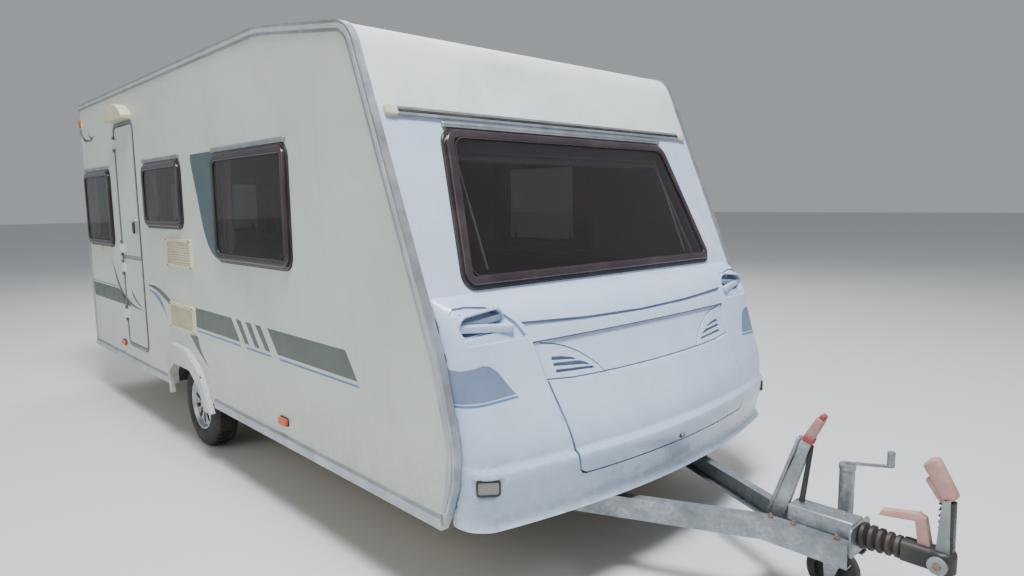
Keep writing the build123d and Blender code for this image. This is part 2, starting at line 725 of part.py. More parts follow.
# Cushions: seats and backs along both sides in front, mattress at the rear
CUSHION = 120.0
BACK_HEIGHT = 410.0
with BuildPart() as cushions:
    for side in (-1, 1):
        with BuildSketch(Plane.XY.offset(SEAT_TOP)):
            with Locations((SEAT_X, side * (INNER - SEAT_DEPTH / 2))):
                RectangleRounded(SEAT_LENGTH - 20, SEAT_DEPTH - 20, 40)
        extrude(amount=CUSHION)
        with BuildSketch(Plane.XY.offset(SEAT_TOP + CUSHION + 4)):
            with Locations((SEAT_X, side * (INNER - 60))):
                RectangleRounded(SEAT_LENGTH - 40, 100, 30)
        extrude(amount=BACK_HEIGHT)
    with BuildSketch(Plane.XY.offset(BED_TOP)):
        with Locations((REAR_X + WALL + BED_LENGTH / 2, 0)):
            RectangleRounded(BED_LENGTH - 20, 2 * INNER - 20, 40)
    extrude(amount=130)
keep(cushions, "cushions")

# Curtains drawn back to both sides of each window, against the wall
CURTAIN_WIDTH = 190.0
CURTAIN_THICK = 26.0
with BuildPart() as curtains:
    for side in (-1, 1):
        for mid_x, mid_z, width, height in SIDE_WINDOWS:
            for end in (-1, 1):
                with BuildSketch(side_plane(side * INNER)):
                    with Locations((mid_x + end * (width / 2 - 66), mid_z + 10)):
                        Rectangle(CURTAIN_WIDTH, height + 60)
                extrude(amount=side * CURTAIN_THICK)
    for end in (-1, 1):
        with BuildSketch(Plane.YZ.offset(REAR_X + WALL)):
            with Locations((end * (REAR_WINDOW[1] / 2 - 60), REAR_WINDOW[0] + 10)):
                Rectangle(CURTAIN_WIDTH, REAR_WINDOW[2] + 60)
        extrude(amount=CURTAIN_THICK)
keep(curtains, "curtains")

# Main rails, pressed channels open inwards
with BuildPart() as chassis_rails:
    for side in (-1, 1):
        with BuildSketch(Plane.YZ.offset(-3150)):
            with Locations((side * (RAIL_Y - 22), BODY_FOOT - RAIL_DEPTH / 2)):
                Rectangle(50, RAIL_DEPTH)
            with Locations((side * (RAIL_Y - 22 - STEEL), BODY_FOOT - RAIL_DEPTH / 2)):
                Rectangle(50, RAIL_DEPTH - 2 * STEEL, mode=Mode.SUBTRACT)
        extrude(amount=RAIL_END + 3150)
        with BuildSketch(Plane.XZ.offset(-RAIL_Y - 50)):
            with Locations((TUBE_X, TUBE_Z)):
                RegularPolygon(TUBE_R, 6)
        extrude(amount=2 * RAIL_Y + 100, mode=Mode.SUBTRACT)
keep(chassis_rails, "chassis_rails")

# Drawbar members in plan: x, y of the outer edge
DRAWBAR_PATH = ((1130.0, 691.0), (1440.0, 691.0), (2690.0, 104.0), (DRAWBAR_END, 104.0))


def drawbar_strip(side, width, z):
    """Strip along a drawbar member, measured inwards from its outer edge."""
    outer = [(x, side * y) for x, y in DRAWBAR_PATH]
    inner = [(x, side * (y - width)) for x, y in reversed(DRAWBAR_PATH)]
    return region(Plane.XY.offset(z), *outer, *inner)


with BuildPart() as drawbar:
    for side in (-1, 1):
        foot = DRAWBAR_TOP - DRAWBAR_DEPTH
        extrude(drawbar_strip(side, STEEL, foot), amount=DRAWBAR_DEPTH)
        extrude(drawbar_strip(side, 48, foot), amount=STEEL)
        extrude(drawbar_strip(side, 48, DRAWBAR_TOP - STEEL), amount=STEEL)
keep(drawbar, "drawbar")

# Cross members between the rails
with BuildPart() as cross_members:
    for cross_x in (-3050.0, 250.0, 1390.0):
        with BuildSketch(Plane.XZ.offset(-RAIL_Y + 22 + STEEL)):
            with Locations((cross_x, 350)):
                Rectangle(46, 60)
                Rectangle(38, 52, mode=Mode.SUBTRACT)
        extrude(amount=2 * (RAIL_Y - 22 - STEEL))
keep(cross_members, "cross_members")

# Axle tube with a trailing arm and stub at each end
with BuildPart() as axle_tube:
    with BuildSketch(Plane.XZ.offset(-820)):
        with Locations((TUBE_X, TUBE_Z)):
            RegularPolygon(TUBE_R, 6)
            RegularPolygon(TUBE_R - 6, 6, mode=Mode.SUBTRACT)
    extrude(amount=2 * 820)
keep(axle_tube, "axle_tube")

ARM_THICK = 34.0
with BuildPart() as swing_arms:
    for side in (-1, 1):
        with BuildSketch(side_plane(side * 820)):
            with Locations((TUBE_X, TUBE_Z)):
                Circle(48)
            with Locations((AXLE_X, WHEEL_R)):
                Circle(38)
            make_hull()
        extrude(amount=-side * ARM_THICK)
        with BuildSketch(side_plane(side * (820 + ARM_THICK))):
            with Locations((AXLE_X, WHEEL_R)):
                Circle(24)
        extrude(amount=-side * 120)
keep(swing_arms, "swing_arms")

# Wheels: a rim with a dished spoke disc, and a tyre
for side, side_name in ((-1, "right"), (1, "left")):
    wheel_plane = Plane(origin=(AXLE_X, side * TRACK_HALF, WHEEL_R), x_dir=(1, 0, 0),
                        z_dir=(0, side, 0))
    with BuildPart() as rim:
        with BuildSketch(Plane(origin=wheel_plane.origin, x_dir=(1, 0, 0),
                               z_dir=(0, 0, 1))) as barrel:
            with BuildLine():
                Polyline(
                    (150, -70 * side), (RIM_R, -74 * side), (RIM_R, -66 * side),
                    (160, -56 * side), (160, 56 * side), (RIM_R, 66 * side),
                    (RIM_R, 74 * side), (168, 74 * side), (150, 56 * side), close=True)
            make_face()
        revolve(axis=Axis((AXLE_X, 0, WHEEL_R), (0, 1, 0)))
        with BuildSketch(wheel_plane.offset(30)):
            Circle(152)
            Circle(26, mode=Mode.SUBTRACT)
            with PolarLocations(104, 10, start_angle=18):
                SlotOverall(74, 30)
        extrude(amount=26)
        with BuildSketch(wheel_plane.offset(30)):
            with PolarLocations(104, 10, start_angle=18):
                SlotOverall(74, 30)
        extrude(amount=30, mode=Mode.SUBTRACT)
        with BuildSketch(wheel_plane.offset(46)):
            Circle(36)
        extrude(amount=16)
    keep(rim, f"rim_{side_name}")
    with BuildPart() as tyre:
        with BuildSketch(Plane(origin=wheel_plane.origin, x_dir=(1, 0, 0), z_dir=(0, 0, 1))):
            half = TYRE_WIDTH / 2
            with BuildLine():
                Polyline(
                    (RIM_R, -62), (RIM_R + 22, -half + 4), (RIM_R + 62, -half),
                    (WHEEL_R - 20, -half + 8), (WHEEL_R, -half + 26), (WHEEL_R, half - 26),
                    (WHEEL_R - 20, half - 8), (RIM_R + 62, half), (RIM_R + 22, half - 4),
                    (RIM_R, 62), (RIM_R, 50), (RIM_R + 22, 60), (WHEEL_R - 24, 62),
                    (WHEEL_R - 24, -62), (RIM_R + 22, -60), (RIM_R, -50), close=True)
            make_face()
        revolve(axis=Axis((AXLE_X, 0, WHEEL_R), (0, 1, 0)))
    keep(tyre, f"tyre_{side_name}")

# Corner steadies: pivot x, direction in which the folded leg points, side
STEADY_PIVOT_Z = 352.0
STEADY_REACH = 410.0
STEADY_Y = 532.0
STEADIES = (
    ("front_right", 1300.0, -1, -1),
    ("front_left", 1300.0, -1, 1),
    ("rear_right", -2900.0, 1, -1),
    ("rear_left", -2900.0, 1, 1),
)
with BuildPart() as steady_brackets:
    for _, pivot_x, _, side in STEADIES:
        for cheek in (-1, 1):
            with BuildSketch(side_plane(side * STEADY_Y + cheek * 38)):
                with Locations((pivot_x, (STEADY_PIVOT_Z - 25 + BODY_FOOT) / 2)):
                    Rectangle(70, BODY_FOOT - STEADY_PIVOT_Z + 25)
            extrude(amount=3, both=True)
        with BuildSketch(side_plane(side * STEADY_Y)):
            with Locations((pivot_x, STEADY_PIVOT_Z)):
                Circle(8)
        extrude(amount=41, both=True)
keep(steady_brackets, "steady_brackets")

for steady_name, pivot_x, heading, side in STEADIES:
    with BuildPart() as leg:
        for cheek in (-1, 1):
            with BuildSketch(side_plane(side * STEADY_Y + cheek * 26)):
                with Locations((pivot_x + heading * STEADY_REACH / 2, STEADY_PIVOT_Z)):
                    SlotOverall(STEADY_REACH + 44, 44)
                with Locations((pivot_x, STEADY_PIVOT_Z)):
                    Circle(8.3, mode=Mode.SUBTRACT)
            extrude(amount=2.5, both=True)
        with BuildSketch(Plane.XY.offset(STEADY_PIVOT_Z - 2.5)):
            with Locations((pivot_x + heading * (STEADY_REACH / 2 + 20), side * STEADY_Y)):
                Rectangle(STEADY_REACH - 70, 50)
        extrude(amount=5)
        with BuildSketch(Plane.XY.offset(STEADY_PIVOT_Z - 16)):
            with Locations((pivot_x + heading * (STEADY_REACH + 30), side * STEADY_Y)):
                RectangleRounded(60, 90, 10)
        extrude(amount=12)
    keep(leg, f"steady_{steady_name}")

# Overrun housing bolted between the drawbar members
with BuildPart() as overrun_housing:
    with BuildSketch(Plane.YZ.offset(2800)):
        with Locations((0, SHAFT_Z)):
            Circle(44)
            Circle(28, mode=Mode.SUBTRACT)
    extrude(amount=DRAWBAR_END + 8 - 2800)
    with BuildSketch(Plane.XY.offset(DRAWBAR_TOP - STEEL - 8)):
        with Locations((2900, 0)):
            Rectangle(200, 190)
            Rectangle(210, 84, mode=Mode.SUBTRACT)
    extrude(amount=8)
    with BuildSketch(Plane.YZ.offset(DRAWBAR_END)):
        with Locations((0, SHAFT_Z - 14)):
            RectangleRounded(190, 118, 20)
        with Locations((0, SHAFT_Z)):
            Circle(28, mode=Mode.SUBTRACT)
    extrude(amount=8)
keep(overrun_housing, "overrun_housing")

with BuildPart() as coupling_shaft:
    with BuildSketch(Plane.YZ.offset(2810)):
        with Locations((0, SHAFT_Z)):
            Circle(27.5)
    extrude(amount=3240 - 2810)
keep(coupling_shaft, "coupling_shaft")

# Ribbed bellows around the shaft
BELLOWS_RIBS = 5
with BuildPart() as bellows:
    with BuildSketch(Plane.XZ):
        with BuildLine():
            x_start = DRAWBAR_END + 8
            pitch = (3196 - x_start) / BELLOWS_RIBS
            points = [(x_start, SHAFT_Z + 28), (x_start, SHAFT_Z + 41)]
            for rib in range(BELLOWS_RIBS):
                x_rib = x_start + rib * pitch
                crest = SHAFT_Z + 51 - 2 * rib
                points += [(x_rib + pitch * 0.3, crest), (x_rib + pitch * 0.7, crest),
                           (x_rib + pitch, crest - 12)]
            points.append((3196, SHAFT_Z + 28))
            Polyline(*points, close=True)
        make_face()
    revolve(axis=Axis((0, 0, SHAFT_Z), (1, 0, 0)))
keep(bellows, "bellows")

# Coupling head with its ball socket and the two friction bosses
with BuildPart() as coupling_head:
    with BuildSketch(Plane.YZ.offset(3196)):
        with Locations((0, SHAFT_Z)):
            RectangleRounded(78, 78, 18)
    extrude(amount=BALL_X - 3196)
    with BuildSketch(Plane.XY.offset(SHAFT_Z - 36)):
        with Locations((BALL_X, 0)):
            Circle(46)
    extrude(amount=76)
    fillet(coupling_head.edges().filter_by(GeomType.CIRCLE).sort_by(Axis.Z)[-1], radius=16)
    for side in (-1, 1):
        with BuildSketch(side_plane(side * 36)):
            with Locations((BALL_X, SHAFT_Z)):
                Circle(32)
        extrude(amount=-side * 24)
    with BuildSketch(Plane.XY.offset(SHAFT_Z - 40)):
        with Locations((BALL_X, 0)):
            Circle(BALL_R)
    extrude(amount=54, mode=Mode.SUBTRACT)
    with BuildSketch(Plane.YZ.offset(3190)):
        with Locations((0, SHAFT_Z)):
            Circle(27.5)
    extrude(amount=50, mode=Mode.SUBTRACT)
keep(coupling_head, "coupling_head")

# Stabiliser lever, its grip, and the latch handle
with BuildPart() as coupling_levers:
    with BuildSketch(side_plane(-60)):
        with BuildLine():
            Polyline((BALL_X - 26, SHAFT_Z), (BALL_X + 26, SHAFT_Z), (BALL_X + 4, 600),
                     (BALL_X - 24, 600), close=True)
        make_face()
    extrude(amount=20)
    with BuildSketch(side_plane(-52)):
        with Locations((BALL_X - 22, 655)):
            SlotOverall(150, 46, rotation=100)
    extrude(amount=34)
    with BuildSketch(side_plane(17)):
        with BuildLine():
            Polyline((3206, SHAFT_Z + 39), (3250, SHAFT_Z + 39), (3222, 490),
                     (3090, 500), (3090, 474), (3196, 466), close=True)
        make_face()
    extrude(amount=34)
keep(coupling_levers, "coupling_levers")

# Handbrake lever on its quadrant
with BuildPart() as handbrake:
    with BuildSketch(side_plane(-14)):
        with BuildLine():
            Polyline((2640, DRAWBAR_TOP - 90), (2720, DRAWBAR_TOP - 90), (2842, 690),
                     (2808, 704), close=True)
        make_face()
    extrude(amount=28)
    with BuildSketch(side_plane(-11)):
        with Locations((2850, 745)):
            SlotOverall(120, 34, rotation=62)
    extrude(amount=34)
    with BuildSketch(Plane.XY.offset(DRAWBAR_TOP - DRAWBAR_DEPTH + STEEL)):
        with Locations((2700, 0)):
            Rectangle(150, 196)
    extrude(amount=6)
keep(handbrake, "handbrake")

# Nose-wheel clamp, outer tube, crank
NOSE_TUBE_TOP = 560.0
with BuildPart() as nose_clamp:
    with BuildSketch(Plane.XY.offset(290)):
        with Locations((NOSE_X, NOSE_Y)):
            Circle(38)
        with Locations((NOSE_X, (NOSE_Y + DRAWBAR_PATH[-1][1]) / 2)):
            Rectangle(60, NOSE_Y - DRAWBAR_PATH[-1][1])
        with Locations((NOSE_X, NOSE_Y)):
            Circle(30.2, mode=Mode.SUBTRACT)
    extrude(amount=60)
keep(nose_clamp, "nose_clamp")

with BuildPart() as nose_tube:
    with BuildSketch(Plane.XY.offset(230)):
        with Locations((NOSE_X, NOSE_Y)):
            Circle(30)
            Circle(26, mode=Mode.SUBTRACT)
    extrude(amount=NOSE_TUBE_TOP - 230)
    with BuildSketch(Plane.XY.offset(NOSE_TUBE_TOP)):
        with Locations((NOSE_X, NOSE_Y)):
            Circle(33)
    extrude(amount=18)
    with BuildSketch(Plane.XY.offset(NOSE_TUBE_TOP + 18)):
        with Locations((NOSE_X, NOSE_Y)):
            Circle(8)
        with Locations((NOSE_X + 70, NOSE_Y + 40)):
            Rectangle(170, 16, rotation=30)
    extrude(amount=9)
    with BuildSketch(Plane.XY.offset(NOSE_TUBE_TOP + 22)):
        with Locations((NOSE_X + 138, NOSE_Y + 79)):
            Circle(15)
    extrude(amount=62)
keep(nose_tube, "nose_tube")

# Swivelling fork with its inner tube
with BuildPart() as nose_fork:
    with BuildSketch(Plane.XY.offset(224)):
        with Locations((NOSE_X, NOSE_Y)):
            Circle(22)
    extrude(amount=NOSE_TUBE_TOP - 20 - 224)
    with BuildSketch(Plane.XY.offset(214)):
        with Locations((NOSE_X - NOSE_TRAIL / 2, NOSE_Y)):
            RectangleRounded(110, 96, 16)
    extrude(amount=10)
    for cheek in (-1, 1):
        with BuildSketch(side_plane(NOSE_Y + cheek * 45)):
            with BuildLine():
                Polyline((NOSE_X - NOSE_TRAIL - 18, NOSE_R - 18),
                         (NOSE_X - NOSE_TRAIL + 18, NOSE_R - 18), (NOSE_X + 30, 214),
                         (NOSE_X - 68, 214), close=True)
            make_face()
        extrude(amount=3, both=True)
    with BuildSketch(side_plane(NOSE_Y)):
        with Locations((NOSE_X - NOSE_TRAIL, NOSE_R)):
            Circle(8)
    extrude(amount=48, both=True)
keep(nose_fork, "nose_fork")

with BuildPart() as nose_wheel:
    with BuildSketch(Plane(origin=(NOSE_X - NOSE_TRAIL, NOSE_Y, NOSE_R), x_dir=(1, 0, 0),
                           z_dir=(0, 0, 1))):
        with BuildLine():
            Polyline((8.3, -30), (34, -30), (40, -14), (62, -14), (68, -32), (92, -32),
                     (NOSE_R, -20), (NOSE_R, 20), (92, 32), (68, 32), (62, 14), (40, 14),
                     (34, 30), (8.3, 30), close=True)
        make_face()
    revolve(axis=Axis((NOSE_X - NOSE_TRAIL, 0, NOSE_R), (0, 1, 0)))
keep(nose_wheel, "nose_wheel")
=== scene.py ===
"""Looks of a travel caravan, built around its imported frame.

Metres, +X forwards to the coupling, +Y to the left, +Z up, the floor is z = 0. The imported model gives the
shapes; this script dresses each of them and adds the livery, seals, screws, fabrics and small fittings.
"""

from __future__ import annotations

import json
import logging
import math
from dataclasses import dataclass
from enum import Enum
from typing import Any, Callable, Iterable, Sequence

import bmesh
import bpy
from mathutils import Euler, Matrix, Vector

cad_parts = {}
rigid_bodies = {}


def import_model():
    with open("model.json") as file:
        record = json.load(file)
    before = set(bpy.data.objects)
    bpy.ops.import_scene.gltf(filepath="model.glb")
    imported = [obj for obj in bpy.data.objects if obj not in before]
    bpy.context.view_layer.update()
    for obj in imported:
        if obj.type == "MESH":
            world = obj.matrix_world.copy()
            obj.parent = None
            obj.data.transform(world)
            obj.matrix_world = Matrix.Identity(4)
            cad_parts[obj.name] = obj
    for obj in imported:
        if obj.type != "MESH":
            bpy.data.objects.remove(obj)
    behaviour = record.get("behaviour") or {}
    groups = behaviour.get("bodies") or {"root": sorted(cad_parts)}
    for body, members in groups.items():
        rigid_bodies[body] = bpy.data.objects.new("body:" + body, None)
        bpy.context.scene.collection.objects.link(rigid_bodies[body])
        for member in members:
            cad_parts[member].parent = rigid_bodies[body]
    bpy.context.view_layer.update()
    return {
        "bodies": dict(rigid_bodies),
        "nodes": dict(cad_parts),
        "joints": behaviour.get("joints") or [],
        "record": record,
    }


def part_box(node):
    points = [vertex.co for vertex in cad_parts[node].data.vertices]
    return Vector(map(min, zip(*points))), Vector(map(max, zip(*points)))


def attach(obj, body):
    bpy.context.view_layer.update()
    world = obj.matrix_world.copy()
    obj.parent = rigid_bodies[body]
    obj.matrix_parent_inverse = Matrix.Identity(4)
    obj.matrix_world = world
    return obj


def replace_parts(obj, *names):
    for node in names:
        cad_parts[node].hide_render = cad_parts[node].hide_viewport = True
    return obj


MM = 0.001
VAN = "van"
HALF_WIDTH = 1.150
SCREEN_HIGH = (1.340, 2.419)
SCREEN_LOW = (1.905, 1.060)
log = logging.getLogger("caravan")

Piece = bpy.types.Object
Tree = bpy.types.NodeTree
Socket = bpy.types.NodeSocket
Point = Sequence[float]
Pair = tuple[float, float]
Triple = tuple[float, float, float]
Outline = tuple[Pair, ...]


class Part(Enum):
    """Kinds of mesh element that an edit works on."""

    VERT = "VERT"
    EDGE = "EDGE"
    FACE = "FACE"


class Side(Enum):
    """The two long sides of the vehicle, by the sign of their y."""

    RIGHT = -1
    LEFT = 1

    @property
    def word(self) -> str:
        """The side's name in small letters, as the pieces' names say it."""
        return self.name.lower()


def linear(colour: str) -> tuple[float, float, float, float]:
    """Turn an sRGB hex colour to linear red, green, blue and alpha.

    Args:
        colour: Colour such as "#a0b0c0".

    Returns:
        Four linear values from 0 to 1.
    """
    parts = [int(colour[i : i + 2], 16) / 255 for i in (1, 3, 5)]
    red, green, blue = (c / 12.92 if c <= 0.04045 else ((c + 0.055) / 1.055) ** 2.4 for c in parts)
    return red, green, blue, 1.0


def add_node(tree: Tree, kind: str, settings: dict[str, Any] | None = None,
             inputs: dict[str | int, Any] | None = None) -> bpy.types.Node:
    """Add one shader node with its settings and links.

    Args:
        tree: Node tree that takes the node.
        kind: Type name of the node.
        settings: Properties of the node, by name.
        inputs: Values, or output sockets to link, by input name or index.

    Returns:
        The new node.
    """
    made = tree.nodes.new(kind)
    for name, value in (settings or {}).items():
        setattr(made, name, value)
    for name, value in (inputs or {}).items():
        if isinstance(value, Socket):
            tree.links.new(value, made.inputs[name])
        else:
            made.inputs[name].default_value = value
    return made


def mask(tree: Tree, place: Socket, size_mm: float, low: float, high: float,
         stretch: Point = (1.0, 1.0, 1.0)) -> Socket:
    """Patches of noise as a mask from 0 to 1.

    Args:
        tree: Node tree that takes the nodes.
        place: Coordinates, in metres.
        size_mm: Size of a patch.
        low: Noise value that gives 0.
        high: Noise value that gives 1.
        stretch: Factors on the three axes, below 1 for patches drawn out along that axis.

    Returns:
        The mask's socket.
    """
    spread = add_node(tree, "ShaderNodeMapping", inputs={"Vector": place, "Scale": tuple(stretch)})
    noise = add_node(tree, "ShaderNodeTexNoise", inputs={
        "Vector": spread.outputs["Vector"], "Scale": 1 / (size_mm * MM), "Detail": 5.0, "Roughness": 0.6})
    return add_node(tree, "ShaderNodeMapRange", inputs={
        "Value": noise.outputs["Fac"], "From Min": low, "From Max": high}).outputs["Result"]


def blend_colours(tree: Tree, share: Any, first: Any, second: Any) -> Socket:
    """Mix two colours, each a socket or linear values, by a share that is a socket or a number."""
    return add_node(tree, "ShaderNodeMix", {"data_type": "RGBA"}, {0: share, 6: first, 7: second}).outputs[2]


def times(tree: Tree, first: Any, second: Any) -> Socket:
    """Multiply two values, each a socket or a number."""
    return add_node(tree, "ShaderNodeMath", {"operation": "MULTIPLY"}, {0: first, 1: second}).outputs[0]


@dataclass(frozen=True)
class Finish:
    """A worn surface: mottled colour, dirt, specks and a fine relief over one base.

    The pattern sizes are in millimetres on the real object, and heights in metres above the floor.
    """

    name: str
    slot: str
    colour: str
    mottle: str
    mottle_mm: float = 400.0
    roughness: float = 0.4
    unevenness: float = 0.1
    metallic: float = 0.0
    ior: float = 1.5
    coat: float = 0.0
    relief_mm: float = 4.0
    relief_depth_mm: float = 0.03
    relief_stretch: Triple = (1.0, 1.0, 1.0)
    dirt: str = "#8a8573"
    dirt_share: float = 0.0
    streak_share: float = 0.0
    speck_share: float = 0.0
    foot_height: float = 0.0

    def base_colour(self, tree: Tree, place: Socket) -> Socket:
        """Colour of the clean surface."""
        patches = mask(tree, place, self.mottle_mm, 0.35, 0.65)
        return blend_colours(tree, patches, linear(self.colour), linear(self.mottle))

    def soiled(self, tree: Tree, place: Socket, clean: Socket) -> Socket:
        """Add clouds of dirt, streaks that run down, splashes near the foot and dark specks.

        Args:
            tree: Node tree that takes the nodes.
            place: Coordinates, in metres.
            clean: Colour before the dirt.

        Returns:
            Colour with the dirt on it.
        """
        colour, grime = clean, linear(self.dirt)
        if self.dirt_share:
            cloud = times(tree, mask(tree, place, 260, 0.45, 0.75), self.dirt_share)
            colour = blend_colours(tree, cloud, colour, grime)
        if self.streak_share:
            runs = mask(tree, place, 22, 0.52, 0.8, (1.0, 1.0, 0.03))
            patches = mask(tree, place, 420, 0.42, 0.62)
            share = times(tree, times(tree, runs, patches), self.streak_share)
            colour = blend_colours(tree, share, colour, grime)
        if self.foot_height:
            height = add_node(tree, "ShaderNodeSeparateXYZ", inputs={0: place}).outputs["Z"]
            near = add_node(tree, "ShaderNodeMapRange", inputs={
                "Value": height, "From Min": self.foot_height, "From Max": 0.35,
                "To Max": 0.55}).outputs["Result"]
            colour = blend_colours(tree, times(tree, near, mask(tree, place, 35, 0.3, 0.75)), colour, grime)
        if self.speck_share:
            dots = add_node(tree, "ShaderNodeTexVoronoi", inputs={"Vector": place, "Scale": 28.0})
            small = add_node(tree, "ShaderNodeMapRange", inputs={
                "Value": dots.outputs["Distance"], "From Min": 0.11, "From Max": 0.06})
            share = times(tree, small.outputs["Result"], mask(tree, place, 150, 0.5, 0.62))
            colour = blend_colours(tree, times(tree, share, self.speck_share), colour, linear("#3b3a33"))
        return colour

    def build(self) -> bpy.types.Material:
        """Make the material, or return it if it is there already."""
        made = bpy.data.materials.get(self.name)
        if made:
            return made
        made = bpy.data.materials.new(self.name)
        made.use_nodes = True
        tree = made.node_tree
        shader = tree.nodes["Principled BSDF"]
        place = add_node(tree, "ShaderNodeTexCoord").outputs["Object"]
        colour = self.soiled(tree, place, self.base_colour(tree, place))
        tree.links.new(colour, shader.inputs["Base Color"])
        dull = add_node(tree, "ShaderNodeMapRange", inputs={
            "Value": mask(tree, place, 90, 0.3, 0.7),
            "To Min": max(self.roughness - self.unevenness, 0.02),
            "To Max": self.roughness + self.unevenness})
        tree.links.new(dull.outputs["Result"], shader.inputs["Roughness"])
        self.add_relief(tree, place, shader)
        shader.inputs["Metallic"].default_value = self.metallic
        shader.inputs["IOR"].default_value = self.ior
        shader.inputs["Coat Weight"].default_value = self.coat
        self.extra(tree, place, shader)
        return made

    def add_relief(self, tree: Tree, place: Socket, shader: bpy.types.Node) -> None:
        """Give the surface its fine grain or waviness."""
        grain = mask(tree, place, self.relief_mm, 0.0, 1.0, self.relief_stretch)
        bump = add_node(tree, "ShaderNodeBump", inputs={
            "Height": grain, "Distance": self.relief_depth_mm * MM, "Strength": 1.0})
        tree.links.new(bump.outputs["Normal"], shader.inputs["Normal"])

    def extra(self, tree: Tree, place: Socket, shader: bpy.types.Node) -> None:
        """Further settings that a kind of finish adds."""


@dataclass(frozen=True)
class Spangle(Finish):
    """Hot-dip galvanised steel, whose zinc crystals catch the light as pale and dark flakes."""

    spangle_mm: float = 14.0

    def base_colour(self, tree: Tree, place: Socket) -> Socket:
        """Colour of the zinc, flake by flake, under a soft mottle."""
        flakes = add_node(tree, "ShaderNodeTexVoronoi", inputs={
            "Vector": place, "Scale": 1 / (self.spangle_mm * MM)})
        tint = add_node(tree, "ShaderNodeSeparateColor", inputs={0: flakes.outputs["Color"]}).outputs[0]
        colour = blend_colours(tree, tint, linear(self.colour), linear(self.mottle))
        return blend_colours(tree, mask(tree, place, self.mottle_mm, 0.4, 0.7), colour, linear("#7d868a"))


@dataclass(frozen=True)
class SeeThrough(Finish):
    """Tinted acrylic or a lamp lens: light passes, coloured by the body of the plastic."""

    clearness: float = 0.9

    def extra(self, tree: Tree, place: Socket, shader: bpy.types.Node) -> None:
        """Let light through."""
        shader.inputs["Transmission Weight"].default_value = self.clearness


@dataclass(frozen=True)
class Smoked(Finish):
    """Thin smoked pane, which dims what lies behind it without bending it and lets daylight in."""

    cover: float = 0.5

    def extra(self, tree: Tree, place: Socket, shader: bpy.types.Node) -> None:
        """Let a share of the light pass straight through."""
        shader.inputs["Alpha"].default_value = self.cover


@dataclass(frozen=True)
class Weave(Finish):
    """Woven cloth, with threads both ways and a soft sheen."""

    thread_mm: float = 3.0

    def add_relief(self, tree: Tree, place: Socket, shader: bpy.types.Node) -> None:
        """Raise the threads, drawn coarser than the real ones so that they show."""
        heights = []
        for direction in ("X", "Z"):
            wave = add_node(tree, "ShaderNodeTexWave", {"bands_direction": direction}, {
                "Vector": place, "Scale": 0.314 / (self.thread_mm * MM), "Distortion": 0.6})
            heights.append(wave.outputs["Fac"])
        bump = add_node(tree, "ShaderNodeBump", inputs={
            "Height": times(tree, heights[0], heights[1]), "Distance": 0.4 * MM})
        tree.links.new(bump.outputs["Normal"], shader.inputs["Normal"])
        shader.inputs["Sheen Weight"].default_value = 0.4


# Aluminium sheet with satin paint, once cream-white, now chalky: soft broad reflections; its colour and
# mottle are also darkened to a grey-green as painted shade, darker than the same paint on the roof
PAINTED_SHEET = Finish("painted aluminium sheet, satin cream", "side_sheet", "#ced5cc", "#c4cbc2",
                       mottle_mm=900, roughness=0.42, unevenness=0.06, relief_mm=260, relief_depth_mm=1.2,
                       dirt_share=0.10, streak_share=0.16, foot_height=0.75)
# The same paint on the roof, where rain leaves algae and dust
ROOF_SHEET = Finish("painted aluminium sheet, roof white", "white_sheet", "#dde4e4", "#d0d8d7",
                    mottle_mm=500, roughness=0.45, relief_mm=180, relief_depth_mm=1.0,
                    dirt_share=0.16, streak_share=0.25, speck_share=0.6)
# Polyester moulding with a gel coat: cool white, still glossy, with scuffs that dull it; its colour and
# mottle are also darkened and tinted blue as painted shade and sky light
GEL_COAT = Finish("polyester moulding, gel coat white", "white_moulding", "#c6d5ea", "#b8cae2",
                  mottle_mm=700, roughness=0.30, unevenness=0.12, coat=0.25, relief_mm=140,
                  relief_depth_mm=0.5, dirt_share=0.10, streak_share=0.12, speck_share=0.25,
                  foot_height=0.66)
# The same gel coat in the floors of its narrow grooves, coloured dark blue-grey as painted shade
PAINTED_SHADE_GEL = Finish("polyester moulding, dusty groove", "white_moulding", "#8594aa", "#76869d",
                    mottle_mm=120, roughness=0.55, relief_mm=20, relief_depth_mm=0.1)
# Thermoformed arch and bumper mouldings, slightly greyer than the sheet
MOULDED_WHITE = Finish("thermoformed ABS, off-white", "white_plastic", "#cdd3cf", "#c0c7c3",
                       roughness=0.38, relief_mm=2.5, relief_depth_mm=0.05, dirt_share=0.2,
                       streak_share=0.3, foot_height=0.8)
# Extruded aluminium, anodised silver, gone dull outdoors
ANODISED = Finish("extruded aluminium, anodised silver", "trim_aluminium", "#c3c8cd", "#aab0b5",
                  mottle_mm=120, roughness=0.42, metallic=0.85, relief_mm=1.6, relief_depth_mm=0.02,
                  relief_stretch=(0.08, 1.0, 1.0), dirt_share=0.3, streak_share=0.25)
# Thermoformed acrylic, smoked brown-violet, glossy rim of the windows
SMOKED_RIM = Finish("thermoformed acrylic, smoked rim", "window_rim", "#2b2026", "#352a30",
                    mottle_mm=160, roughness=0.22, unevenness=0.07, coat=0.4, ior=1.49,
                    relief_mm=90, relief_depth_mm=0.3, dirt="#7d7468", dirt_share=0.12)
# The clear part of the same acrylic: dark, and bright only where it mirrors the surroundings
SMOKED_PANE = Smoked("cast acrylic, smoked pane", "tinted_acrylic", "#1b1417", "#231a1d", mottle_mm=300,
                     roughness=0.06, unevenness=0.02, ior=1.6, coat=0.5, relief_mm=220,
                     relief_depth_mm=0.25, cover=0.52)
